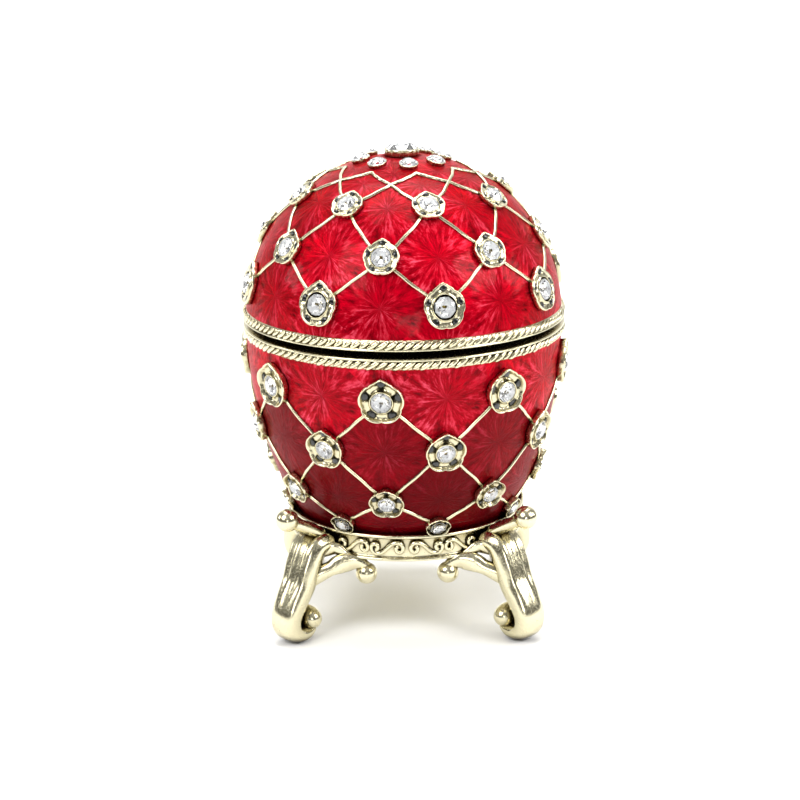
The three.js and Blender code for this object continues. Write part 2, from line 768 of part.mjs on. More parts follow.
function bowlShell() {
  return joined([bowlSkin(), lip()])
    .subtract(roomForCollar())
    .subtract(bowlCavity())
    .subtract(roomForLidKnuckle())
    .subtract(roomForPinHeads())
    .add(bowlKnuckles())
    .subtract(pinBore());
}

// The stand

function bowlRadiusAt(height) {
  return EGG_RADIUS * Math.cos(slopeAt(height - SEAM_HEIGHT, BOWL_SEMI_AXIS));
}

const seatHeight = SEAM_HEIGHT - BOWL_DEPTH - BOWL_SEAT_GAP;
const rimRadius = bowlRadiusAt(COLLAR_TOP) + BOWL_SEAT_GAP + COLLAR_RIM_WALL;

// The collar: a rim above and below a sunk band, and a ledge inside for the bowl's flat bottom
function collar() {
  const rimInner = rimRadius - COLLAR_RIM_WALL;
  const baseOuter = rimRadius - COLLAR_TAPER;
  const ledgeOuter = bowlRadiusAt(SEAM_HEIGHT - BOWL_DEPTH) + BOWL_SEAT_GAP;
  const ledgeInner = ledgeOuter - COLLAR_LEDGE_WIDTH;
  const lowRim = COLLAR_BOTTOM + COLLAR_RIM_HEIGHT;
  const highRim = COLLAR_TOP - COLLAR_RIM_HEIGHT;
  return turnedRing([
    [ledgeInner, COLLAR_BOTTOM],
    [baseOuter, COLLAR_BOTTOM],
    [baseOuter, lowRim],
    [baseOuter - COLLAR_RELIEF_DEPTH, lowRim + COLLAR_RELIEF_DEPTH],
    [rimRadius - COLLAR_RELIEF_DEPTH, highRim - COLLAR_RELIEF_DEPTH],
    [rimRadius, highRim],
    [rimRadius, COLLAR_TOP],
    [rimInner, COLLAR_TOP],
    [ledgeOuter, seatHeight],
    [ledgeInner, seatHeight],
  ], COLLAR_SIDES);
}

// The ball carried by the end of an arm
const armEnd = ARM_STATIONS[ARM_STATIONS.length - 1];
const ballPlace = { reach: armEnd.reach + BALL_REACH, height: armEnd.height + BALL_RISE };

function armBall(azimuth) {
  const center = standing(azimuth, rimRadius + ballPlace.reach, ballPlace.height);
  return ball(center, BALL_RADIUS, BALL_SIDES, BALL_ROWS);
}

// The room inside the legs, which end within the collar's wall
function roomInsideLegs() {
  const gap = BOWL_SEAT_GAP + COLLAR_RIM_WALL / 2;
  const top = ballPlace.height + BALL_RADIUS;
  return turned([
    [bowlRadiusAt(seatHeight) + gap, COLLAR_BOTTOM + COLLAR_RIM_HEIGHT],
    [bowlRadiusAt(COLLAR_TOP) + gap, COLLAR_TOP],
    [bowlRadiusAt(top) + gap, top],
  ], COLLAR_SIDES);
}

function floorBlock() {
  return turned([[2 * EGG_RADIUS, -SEAM_HEIGHT], [2 * EGG_RADIUS, 0]], 4);
}

function legStations(stations, azimuth) {
  return stations.map(({ reach, height, thickness, width }) => ({
    at: standing(azimuth, rimRadius + reach, height - FOOT_PAD_TRIM),
    across: sideways(azimuth),
    thickness,
    width,
  }));
}

// The roll that the foot curls round, across the leg
function volute(azimuth) {
  const center = standing(azimuth, rimRadius + VOLUTE_AXIS_REACH, VOLUTE_AXIS_HEIGHT);
  const across = sideways(azimuth);
  const stations = VOLUTE_SHARES.map(([place, size]) => ({
    at: center.clone().addScaledVector(across, (place * VOLUTE_WIDTH) / 2),
    across: outward(azimuth),
    thickness: 2 * VOLUTE_RADIUS * size,
    width: 2 * VOLUTE_RADIUS * size,
  }));
  return sweptBar(stations, LEG_SECTION_SIDES);
}

// A bracket from one side of a leg to a small curl that hangs under the collar
function bracket(azimuth, side) {
  const strip = sweptBar(BRACKET_STATIONS.map(({ turn, reach, height, thickness, width }) => ({
    at: standing(azimuth + side * turn, rimRadius + reach, height),
    across: outward(azimuth + side * turn),
    thickness,
    width,
  })), BRACKET_SECTION_SIDES);
  const curl = standing(azimuth + side * CURL_TURN, rimRadius + CURL_AXIS_REACH, CURL_HEIGHT);
  return strip.add(ball(curl, CURL_RADIUS, CURL_SIDES, CURL_ROWS));
}

function leg(azimuth) {
  return joined([
    sweptBar(legStations(LEG_STATIONS, azimuth), LEG_SECTION_SIDES),
    volute(azimuth),
    sweptBar(legStations(ARM_STATIONS, azimuth), LEG_SECTION_SIDES),
    armBall(azimuth),
    bracket(azimuth, 1),
    bracket(azimuth, -1),
  ]);
}

function stand() {
  const legs = Array.from({ length: LEGS }, (_, n) => leg(LEG_FIRST_AZIMUTH + (360 * n) / LEGS));
  return joined(legs).subtract(roomInsideLegs()).subtract(floorBlock()).add(collar());
}

// The whole box

const box = new THREE.Group();

function addNode(parent, name, solid, material, origin = new THREE.Vector3()) {
  const geometry = geometryFromSolid(solid);
  geometry.translate(-origin.x, -origin.y, -origin.z);
  const mesh = new THREE.Mesh(geometry, material);
  mesh.name = name;
  parent.add(mesh);
}

addNode(box, 'stand', stand(), GOLD);
addNode(box, 'bowl', bowlShell(), ENAMEL);
addNode(box, 'hinge_pin', hingePin(), GOLD);

// The lid turns on the pin and stands slightly ajar
const lid = new THREE.Group();
lid.position.copy(pinCenter);
lid.rotation.x = -radians(LID_AJAR);
box.add(lid);

addNode(lid, 'lid', lidShell(), ENAMEL, pinCenter);

const topStone = cutStone(apex, TOP_STONE_RADIUS, TOP_STONE_HEIGHT, TOP_BEZEL_HEIGHT + STONE_GAP);
addNode(lid, 'stone_top', topStone, CRYSTAL, pinCenter);

crownPlaces().forEach((place, k) => {
  const solid = cutStone(place, CROWN_STONE_RADIUS, CROWN_STONE_THICKNESS, CROWN_STONE_GAP);
  addNode(lid, `stone_crown_${k + 1}`, solid, CRYSTAL, pinCenter);
});

function addRowStones(parent, row, places, origin) {
  places.forEach((place, k) => {
    const solid = cutStone(place, row.stoneRadius, STONE_HEIGHT, CUP_FLOOR_HEIGHT + STONE_GAP);
    addNode(parent, `stone_${row.name}_${k + 1}`, solid, CRYSTAL, origin);
  });
}

LID_ROWS.forEach((row, n) => {
  addRowStones(lid, row, flowerPlaces(row, n, DOME_HEIGHT, LID_FIRST_AZIMUTH), pinCenter);
});

BOWL_ROWS.forEach((row, n) => {
  if (row.notched) addRowStones(box, row, flowerPlaces(row, n, BOWL_SEMI_AXIS, BOWL_FIRST_AZIMUTH));
});

export default box;
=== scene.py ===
"""Looks of a hinged egg trinket box: red enamel over engraved rays, a gilt trellis with crystals
in flower cups, and a cast stand with four scrolled legs. It runs as a script in Blender."""

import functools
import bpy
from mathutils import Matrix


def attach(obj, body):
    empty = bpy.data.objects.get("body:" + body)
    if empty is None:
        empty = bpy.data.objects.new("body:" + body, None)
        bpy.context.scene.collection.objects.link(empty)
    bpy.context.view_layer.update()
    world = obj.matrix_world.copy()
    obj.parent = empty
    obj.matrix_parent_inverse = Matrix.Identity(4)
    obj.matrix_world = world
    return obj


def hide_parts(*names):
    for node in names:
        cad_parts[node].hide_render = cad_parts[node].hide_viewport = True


bl_info = {
    "name": "Jewelled egg trinket box", "version": (1, 0, 0), "blender": (4, 5, 0),
    "location": "3D View > Sidebar > Egg box",
    "description": "Builds an enamelled egg box set with crystals, on a gilt stand",
    "category": "Add Mesh",
}

from math import acos, asin, atan, copysign, cos, floor, pi, radians, sin, sqrt, tau

import bmesh
import bpy
from mathutils import Matrix, Vector

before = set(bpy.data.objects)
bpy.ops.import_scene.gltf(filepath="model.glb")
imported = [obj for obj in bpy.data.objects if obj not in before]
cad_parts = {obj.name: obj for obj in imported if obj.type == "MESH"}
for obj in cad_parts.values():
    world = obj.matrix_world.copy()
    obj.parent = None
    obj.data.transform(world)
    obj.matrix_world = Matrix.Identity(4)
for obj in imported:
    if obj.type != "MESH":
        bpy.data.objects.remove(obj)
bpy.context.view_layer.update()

MM = 0.001

# The rows of flowers, from the seam outwards: the height from the seam, upwards on the lid and
# downwards on the bowl, the half width and half height of a cup, and the radius of its stone
FLOWERS = {
    "lid": ((5.6, 3.0, 3.15, 1.4), (11.65, 2.6, 2.6, 1.3), (17.36, 2.45, 2.3, 1.25)),
    "bowl": (
        (5.8, 3.3, 3.2, 1.35), (13.3, 3.0, 2.95, 1.3), (20.9, 2.6, 2.4, 1.2),
        (25.0, 1.9, 1.6, 1.05),
    ),
}
# The heights of all trellis rows, with one outside each end of the enamel
ROWS = {
    "lid": (-0.5, 5.6, 11.65, 17.36, 19.85, 20.94, 22.2),
    "bowl": (-1.9, 5.8, 13.3, 20.9, 25.0, 27.4, 30.5),
}
# How many rows of wires each half has
WIRE_ROWS = {"lid": 4, "bowl": 3}
# How light each cell of the enamel is painted, by the row of the cell: it sets how much the rays
# show their light, darkens the lower cells of the bowl towards the deep colour as painted shade,
# and scales the painted sheen
CELL_PAINTED_LIGHT = {
    "lid": (0.8, 0.75, 0.85, 0.75, 0.7, 0.7, 0.7), "bowl": (0.85, 0.75, 0.2, 0.14, 0.12, 0.1, 0.1)
}
# Steps across half a cell of the enamel, and along a wire of the trellis
CELL_STEPS = 8
WIRE_STEPS = 24
# Sides of the turned bodies, the collar and the hinge
BODY_SIDES = 128
COLLAR_SIDES = 160
BARREL_SIDES = 32
# The enamel starts at this height from the seam, and ends at this height on the lid
ENAMEL_START = 0.7
ENAMEL_END = 22.28
# The smallest radius of a ring, which closes it to a point
POINT = 1e-6


def linear(hex_colour):
    """A colour for a shader from its sRGB hex value."""
    channels = [int(hex_colour[n : n + 2], 16) / 255 for n in (1, 3, 5)]
    return tuple(c / 12.92 if c <= 0.04045 else ((c + 0.055) / 1.055) ** 2.4 for c in channels)


def length(name, description, default_mm):
    """A property that holds a length, from its default in millimetres."""
    return bpy.props.FloatProperty(
        name=name, description=description, default=default_mm * MM, unit="LENGTH", precision=5
    )


def turn(name, description, default_degrees):
    """A property that holds an angle, from its default in degrees."""
    return bpy.props.FloatProperty(
        name=name, description=description, default=radians(default_degrees), unit="ROTATION"
    )


def count(name, description, default, least):
    """A property that holds a number of pieces."""
    return bpy.props.IntProperty(name=name, description=description, default=default, min=least)


def colour(name, description, default_hex):
    """A property that holds a colour, from its default sRGB hex value."""
    return bpy.props.FloatVectorProperty(
        name=name, description=description, default=linear(default_hex), subtype="COLOR",
        min=0.0, max=1.0,
    )


class EggSettings(bpy.types.PropertyGroup):
    """Sizes of the egg's two shells."""

    radius: length("Radius", "The egg's radius at the seam", 22.0)
    seam: length("Seam height", "Height of the seam above the floor", 42.0)
    dome: length("Lid height", "Height of the lid above the seam", 22.4)
    bowl: length("Bowl half axis", "Half axis of the bowl's ellipse", 37.9)
    depth: length("Bowl depth", "Depth of the bowl below the seam", 29.0)
    lid_wall: length("Lid wall", "Thickness of the lid's wall", 1.2)
    bowl_wall: length("Bowl wall", "Thickness of the bowl's wall", 1.4)
    enamel: length("Enamel", "Thickness of the enamel layer", 0.25)
    ajar: turn("Opening", "How far the lid stands open", 1.1)
    crown_turn: turn("Crown turn", "Turn of the ring of stones on top of the lid", -36.0)
    crown_ring: length("Crown ring", "Radius of the ring of stones on top of the lid", 5.6)
    lid_turn: turn("Lid turn", "Turn of the lid's trellis about the egg's axis", -31.0)
    bowl_turn: turn("Bowl turn", "Turn of the bowl's trellis about the egg's axis", -8.0)
    columns: count("Columns", "Flowers in each row", 8, 3)
    strands: count("Rope strands", "Strands round each rope band", 118, 12)
    wire: length("Wire", "Radius of the trellis wires", 0.25)


class HingeSettings(bpy.types.PropertyGroup):
    """Sizes of the hinge at the back."""

    pin: length("Pin", "Radius of the pin", 0.5)
    head: length("Pin head", "Radius of the pin's heads", 0.85)
    knuckle: length("Knuckle", "Radius of the knuckles", 1.1)
    offset: length("Offset", "How far the pin lies behind the egg", 0.8)
    middle: length("Middle knuckle", "Length of the lid's knuckle", 3.2)
    outer: length("Outer knuckles", "Length of each of the bowl's knuckles", 2.4)
    gap: length("Gap", "Gap between two knuckles", 0.2)


class StandSettings(bpy.types.PropertyGroup):
    """Sizes of the cast stand."""

    collar_top: length("Collar top", "Height of the collar's upper edge", 15.6)
    collar_bottom: length("Collar bottom", "Height of the collar's lower edge", 11.7)
    ball: length("Ball", "Radius of the ball on each arm", 1.6)
    curl: length("Curl", "Radius of the small curls below the collar", 1.5)
    scroll: length("Scroll", "Radius of the collar's scroll wire", 0.31)
    legs: count("Legs", "Number of legs", 4, 3)


class FinishSettings(bpy.types.PropertyGroup):
    """Colours of the finishes."""

    gilt: colour("Gilt", "Pale gold plate", "#e0d8b6")
    # Painted shade: the gold plate is mixed towards this colour where ambient occlusion finds
    # hollows
    gilt_painted_shade: colour("Gilt shade", "Darkened gold plate in the hollows", "#5a4c22")
    enamel: colour("Enamel", "Red enamel", "#dc0022")
    # The deep colour is also the painted shade of the bowl's lower cells
    enamel_deep_and_shade: colour("Deep enamel", "Red enamel where it lies thick", "#540006")
    # Painted sheen: pink patches on the ray crests, in place of soft reflections of the lamps
    enamel_painted_sheen: colour("Light enamel", "Red enamel where it lies thin", "#f8708c")
    # Black of the drops in the hollows of the flower cups
    black: colour("Black enamel", "Black enamel in the flower cups", "#0c0f0c")
    crystal: colour("Crystal", "Cut crystal", "#ffffff")
    foil: colour("Foil", "Mirror foil behind the crystals", "#fafbfc")
    foil_dark: colour("Foil shade", "Dull patches of the mirror foil", "#4a4d50")
    floor: colour("Floor", "Pale floor and backdrop", "#fbfbfb")


class StageSettings(bpy.types.PropertyGroup):
    """The camera's place and the light."""

    distance: length("Distance", "From the camera to the middle of the seam", 300.0)
    elevation: turn("Elevation", "The camera's angle above the horizon", 14.48)
    roll: turn("Roll", "Turn of the camera about its own axis", 0.74)
    lens: bpy.props.FloatProperty(
        name="Lens", description="Focal length in millimetres", default=96.6, min=10.0
    )


def settings(group):
    """One group of the box's sizes or colours."""
    return getattr(bpy.context.scene, "egg_box_" + group)


# Materials


def add_node(tree, kind, inputs=None, **options):
    """Adds a node, sets its options, and sets or links its inputs, by their name or number. An
    input given as a node takes the first output that node has in use."""
    node = tree.nodes.new(kind)
    for name, value in options.items():
        setattr(node, name, value)
    for name, value in (inputs or {}).items():
        if isinstance(value, bpy.types.Node):
            value = next(socket for socket in value.outputs if socket.enabled)
        if isinstance(value, bpy.types.NodeSocket):
            tree.links.new(value, node.inputs[name])
        else:
            node.inputs[name].default_value = value
    return node


def material(name):
    """Turns a function that adds a surface's nodes into one that gives the finished material,
    which is made on its first use."""
    def wrap(surface):
        def give():
            if name not in bpy.data.materials:
                made = bpy.data.materials.new(name)
                made.use_nodes = True
                made.node_tree.nodes.clear()
                add = functools.partial(add_node, made.node_tree)
                add("ShaderNodeOutputMaterial", {"Surface": surface(add)})
            return bpy.data.materials[name]
        return give
    return wrap


def paint(name):
    """A colour of the finishes, as a shader takes it."""
    return (*getattr(settings("finish"), name), 1.0)


@material("Polished pale gold plate on cast metal")
def gilt_plate(add):
    """Gold plate on a polished casting: pale, with soft casting ripples, and painted shade that
    darkens it in the hollows.
    """
    place = add("ShaderNodeTexCoord").outputs["Object"]
    # Casting ripples about 1.2 mm apart, and polishing haze about 0.25 mm across
    ripples = add("ShaderNodeTexNoise", {"Vector": place, "Scale": 800.0, "Detail": 2.0})
    haze = add("ShaderNodeTexNoise", {"Vector": place, "Scale": 4000.0, "Detail": 3.0})
    rough = add(
        "ShaderNodeMapRange",
        {"Value": haze, "From Min": 0.3, "From Max": 0.7, "To Min": 0.14, "To Max": 0.3},
    )
    # Painted shade: ambient occlusion darkens the gold towards the shade colour in hollows and
    # between parts
    hollow = add("ShaderNodeAmbientOcclusion", {"Distance": 2.0 * MM}, samples=8)
    shade = add(
        "ShaderNodeMapRange", {"Value": hollow.outputs["AO"], "From Min": 0.3, "From Max": 0.85}
    )
    tint = add(
        "ShaderNodeMix", {"Factor": shade, "A": paint("gilt_painted_shade"), "B": paint("gilt")},
        data_type="RGBA",
    )
    bump = add("ShaderNodeBump", {"Height": ripples, "Strength": 0.2, "Distance": 0.08 * MM})
    return add(
        "ShaderNodeBsdfPrincipled",
        {"Base Color": tint, "Metallic": 1.0, "Roughness": rough, "Normal": bump},
    )


@material("Translucent red enamel over engraved rays")
def red_enamel(add):
    """Translucent red enamel over metal engraved with rays: the metal shows through as light and
    dark rays, under a smooth glassy surface, with painted shade that darkens the lower cells of the
    bowl and a painted pink sheen on the ray crests. Its map is in millimetres from the middle of
    each trellis cell."""
    spot = add("ShaderNodeUVMap", uv_map="cell")
    reach = add("ShaderNodeVectorMath", {0: spot}, operation="LENGTH")
    bearing = add("ShaderNodeVectorMath", {0: spot}, operation="NORMALIZE")
    # Broad rays with finer ones in them, which change slowly along their length
    spread = add("ShaderNodeVectorMath", {0: bearing, "Scale": 4.5}, operation="SCALE")
    change = add("ShaderNodeMath", {0: reach, 1: 0.4}, operation="MULTIPLY")
    along = add("ShaderNodeCombineXYZ", {"Z": change})
    around = add("ShaderNodeVectorMath", {0: spread, 1: along}, operation="ADD")
    rays = add(
        "ShaderNodeTexNoise", {"Vector": around, "Scale": 1.3, "Detail": 5.0, "Roughness": 0.72}
    )
    # The enamel lies thicker and thinner over some 4 mm, and the same cloud places the patches of
    # painted sheen
    place = add("ShaderNodeTexCoord").outputs["Object"]
    cloud = add("ShaderNodeTexNoise", {"Vector": place, "Scale": 250.0, "Detail": 1.0})
    bump = add("ShaderNodeBump", {"Height": rays, "Strength": 0.8, "Distance": 0.3 * MM})
    swell = add("ShaderNodeBump", {"Height": cloud, "Strength": 0.5, "Distance": 0.5 * MM})
    # Each cell has its own painted light, a little uneven from cell to cell; the lower cells of the
    # bowl are darkened towards the deep colour as painted shade
    shine = add("ShaderNodeAttribute", attribute_name="shine").outputs["Fac"]
    depth = add("ShaderNodeMapRange", {"Value": rays, "From Min": 0.3, "From Max": 0.62})
    ray_depth = add("ShaderNodeMath", {0: depth, 1: shine}, operation="MULTIPLY")
    lower = add(
        "ShaderNodeMix",
        {"Factor": ray_depth, "A": paint("enamel_deep_and_shade"), "B": paint("enamel")}, data_type="RGBA",
    )
    # Painted sheen: pink patches where the cloud and the ray crests meet, in place of soft
    # reflections of the lamps
    thin = add(
        "ShaderNodeMapRange", {"Value": cloud, "From Min": 0.4, "From Max": 0.66, "To Max": 0.9}
    )
    crest = add("ShaderNodeMapRange", {"Value": rays, "From Min": 0.5, "From Max": 0.74})
    crest_sheen = add("ShaderNodeMath", {0: crest, 1: shine}, operation="MULTIPLY")
    ray_sheen = add("ShaderNodeMath", {0: thin, 1: crest_sheen}, operation="MULTIPLY")
    tint = add(
        "ShaderNodeMix", {"Factor": ray_sheen, "A": lower, "B": paint("enamel_painted_sheen")},
        data_type="RGBA",
    )
    return add(
        "ShaderNodeBsdfPrincipled",
        {"Base Color": tint, "Metallic": 0.6, "Roughness": 0.36, "Normal": bump,
         "Specular IOR Level": 0.1, "Specular Tint": paint("enamel"), "Coat Weight": 0.12,
         "Coat Roughness": 0.12, "Coat IOR": 1.45, "Coat Normal": swell},
    )


@material("Opaque black enamel")
def black_fill(add):
    """The black drops in the cups' hollows: opaque and glassy, with a slight orange peel."""
    place = add("ShaderNodeTexCoord").outputs["Object"]
    peel = add("ShaderNodeTexNoise", {"Vector": place, "Scale": 3000.0})
    bump = add("ShaderNodeBump", {"Height": peel, "Strength": 0.2, "Distance": 0.05 * MM})
    return add(
        "ShaderNodeBsdfPrincipled",
        {"Base Color": paint("black"), "Roughness": 0.12, "Normal": bump, "Coat Weight": 0.5,
         "Coat Roughness": 0.05},
    )


@material("Cut lead crystal")
def cut_crystal(add):
    """Lead crystal, ground and polished: clear, with bright sharp facets."""
    place = add("ShaderNodeTexCoord").outputs["Object"]
    # Fine wear on the facets, about 0.1 mm across
    wear = add("ShaderNodeTexNoise", {"Vector": place, "Scale": 9000.0})
    rough = add(
        "ShaderNodeMapRange", {"Value": wear, "From Min": 0.4, "From Max": 0.8, "To Max": 0.04}
    )
    return add(
        "ShaderNodeBsdfPrincipled",
        {"Base Color": paint("crystal"), "Roughness": rough, "IOR": 1.6,
         "Transmission Weight": 1.0},
    )


@material("Silvered foil")
def mirror_foil(add):
    """Silvered foil behind a crystal: a bright mirror with faint mottling."""
    place = add("ShaderNodeTexCoord").outputs["Object"]
    # Patches about 0.5 mm across that mirror more or less
    mottle = add("ShaderNodeTexNoise", {"Vector": place, "Scale": 2000.0})
    rough = add(
        "ShaderNodeMapRange",
        {"Value": mottle, "From Min": 0.3, "From Max": 0.7, "To Min": 0.05, "To Max": 0.3},
    )
    shade = add("ShaderNodeMapRange", {"Value": mottle, "From Min": 0.3, "From Max": 0.4})
    tint = add(
        "ShaderNodeMix", {"Factor": shade, "A": paint("foil_dark"), "B": paint("foil")},
        data_type="RGBA",
    )
    return add(
        "ShaderNodeBsdfPrincipled", {"Base Color": tint, "Metallic": 0.25, "Roughness": rough}
    )


@material("Matt pale paper")
def pale_paper(add):
    """Matt pale paper for the floor, with a fine grain."""
    place = add("ShaderNodeTexCoord").outputs["Object"]
    # Grain about 1.1 mm across
    grain = add("ShaderNodeTexNoise", {"Vector": place, "Scale": 900.0})
    bump = add("ShaderNodeBump", {"Height": grain, "Strength": 0.05, "Distance": 0.05 * MM})
    return add(
        "ShaderNodeBsdfPrincipled",
        {"Base Color": paint("floor"), "Roughness": 0.75, "Normal": bump},
    )


# Meshes


def link(name, mesh):
    """An object in the scene from its data."""
    item = bpy.data.objects.new(name, mesh)
    bpy.context.scene.collection.objects.link(item)
    return item


def build(name, points, faces, material=None, smooth=True):
    """An object from points and faces."""
    mesh = bpy.data.meshes.new(name)
    mesh.from_pydata([tuple(p) for p in points], [], faces)
    mesh.validate()
    mesh.polygons.foreach_set("use_smooth", [smooth] * len(mesh.polygons))
    if material:
        mesh.materials.append(material)
    return link(name, mesh)


def tidy_normals(item):
    """Merges doubled points and turns every face outwards."""
    mesh = bmesh.new()
    mesh.from_mesh(item.data)
    bmesh.ops.remove_doubles(mesh, verts=mesh.verts, dist=0.002 * MM)
    bmesh.ops.recalc_face_normals(mesh, faces=mesh.faces)
    mesh.to_mesh(item.data)
    mesh.free()
    return item


def loft(rings, closed=False):
    """Points and faces of a skin over rings of equally many points, with its ends closed by
    flat faces, or joined to each other."""
    count = len(rings[0])
    points = [p for ring in rings for p in ring]
    faces = []
    for n in range(len(rings) if closed else len(rings) - 1):
        here, there = n * count, (n + 1) % len(rings) * count
        for k in range(count):
            after = (k + 1) % count
            faces.append((here + k, here + after, there + after, there + k))
    if not closed:
        faces.append(tuple(reversed(range(count))))
        faces.append(tuple(range(len(points) - count, len(points))))
    return points, faces


def circle(sides, shift=0.0):
    """The angles of evenly spaced points round a circle."""
    return [tau * (k + shift) / sides for k in range(sides)]


def cast(name, rings, closed=False):
    """A gilt casting from rings of points."""
    return tidy_normals(build(name, *loft(rings, closed), gilt_plate()))


def plan(azimuth, radius, height=0.0):
    """A point by its azimuth from the front towards +X, its radius and its height."""
    return Vector((sin(azimuth) * radius, -cos(azimuth) * radius, height))


def turned(name, profile, sides):
    """A gilt solid of revolution from a closed profile of (radius, height) in millimetres."""
    rings = [
        [plan(angle, max(radius, POINT) * MM, height * MM) for angle in circle(sides)]
        for radius, height in profile
    ]
    return cast(name, rings, closed=True)


def smooth_path(stations, steps):
    """Stations of equal length, with steps - 1 more between each two on a smooth curve."""
    result = []
    for n in range(len(stations) - 1):
        near = [stations[min(max(n + k, 0), len(stations) - 1)] for k in (-1, 0, 1, 2)]
        for step in range(steps):
            t = step / steps
            result.append([
                0.5 * (2 * q + (r - p) * t + (2 * p - 5 * q + 4 * r - s) * t * t
                       + (3 * q - p - 3 * r + s) * t ** 3)
                for p, q, r, s in zip(*near)
            ])
    result.append(list(stations[-1]))
    return result


def join(name, items):
    """One object from several, with their materials."""
    mesh = bmesh.new()
    materials = []
    for item in items:
        first = len(mesh.faces)
        mesh.from_mesh(item.data)
        mesh.faces.ensure_lookup_table()
        for face in mesh.faces[first:]:
            used = item.data.materials[face.material_index]
            if used not in materials:
                materials.append(used)
            face.material_index = materials.index(used)
    data = bpy.data.meshes.new(name)
    mesh.to_mesh(data)
    mesh.free()
    for material in materials:
        data.materials.append(material)
    for item in items:
        bpy.data.objects.remove(item)
    return link(name, data)


def plain(item, name):
    """The item as its modifiers leave it, as a plain mesh in its place."""
    bpy.context.view_layer.update()
    graph = bpy.context.evaluated_depsgraph_get()
    mesh = bpy.data.meshes.new_from_object(item.evaluated_get(graph))
    mesh.name = name
    bpy.data.objects.remove(item)
    return link(name, mesh)


def cut(item, cutter):
    """Takes the cutter out of the item and removes it."""
    name = item.name
    modifier = item.modifiers.new("cut", "BOOLEAN")
    modifier.operation = "DIFFERENCE"
    modifier.solver = "EXACT"
    modifier.object = cutter
    result = plain(item, name)
    bpy.data.objects.remove(cutter)
    return result


def hang(item, body, slot="gold_plate", *stands_for):
    """Hands a finished piece over: puts it under its body and hides the solids it stands for. The
    slot is not used.
    """
    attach(item, body)
    if stands_for:
        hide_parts(*stands_for)


# Geometry Nodes


def node_tree(name, *sockets):
    """Turns a function that adds nodes into one that gives the finished tree, which is made on
    its first use. The tree takes an item, these inputs of (name, kind, default), and the
    material of the real geometry that it gives."""
    def wrap(shape):
        def give():
            if name in bpy.data.node_groups:
                return bpy.data.node_groups[name]
            tree = bpy.data.node_groups.new(name, "GeometryNodeTree")
            add_socket = tree.interface.new_socket
            add_socket("Item", in_out="INPUT", socket_type="NodeSocketGeometry")
            add_socket("Item", in_out="OUTPUT", socket_type="NodeSocketGeometry")
            for label, kind, default in (*sockets, ("Finish", "Material", None)):
                socket = add_socket(label, in_out="INPUT", socket_type="NodeSocket" + kind)
                if default is not None:
                    socket.default_value = default
            add = functools.partial(add_node, tree)
            inputs = add("NodeGroupInput").outputs
            real = add("GeometryNodeRealizeInstances", {"Geometry": shape(add, inputs)})
            painted = add(
                "GeometryNodeSetMaterial", {"Geometry": real, "Material": inputs["Finish"]}
            )
            add("NodeGroupOutput", {"Item": painted})
            return tree
        return give
    return wrap


@node_tree("Place on points", ("Pattern", "Object", None))
def placing_tree(add, inputs):
    """Puts a pattern piece on each point, by the point's own turn and size."""
    pattern = add("GeometryNodeObjectInfo", {"Object": inputs["Pattern"]})
    angle, size = (
        add("GeometryNodeInputNamedAttribute", {"Name": name}, data_type="FLOAT_VECTOR")
        for name in ("turn", "size")
    )
    return add(
        "GeometryNodeInstanceOnPoints",
        {"Points": inputs["Item"], "Instance": pattern.outputs["Geometry"], "Rotation": angle,
         "Scale": size},
    )


@node_tree("Wire along curves", ("Thickness", "Float", 1.0), ("Sides", "Int", 8))
def wire_tree(add, inputs):
    """Draws a round wire along each curve, by the curve's own radius."""
    profile = add(
        "GeometryNodeCurvePrimitiveCircle",
        {"Resolution": inputs["Sides"], "Radius": inputs["Thickness"]},
    )
    return add(
        "GeometryNodeCurveToMesh",
        {"Curve": inputs["Item"], "Profile Curve": profile, "Fill Caps": True},
    )


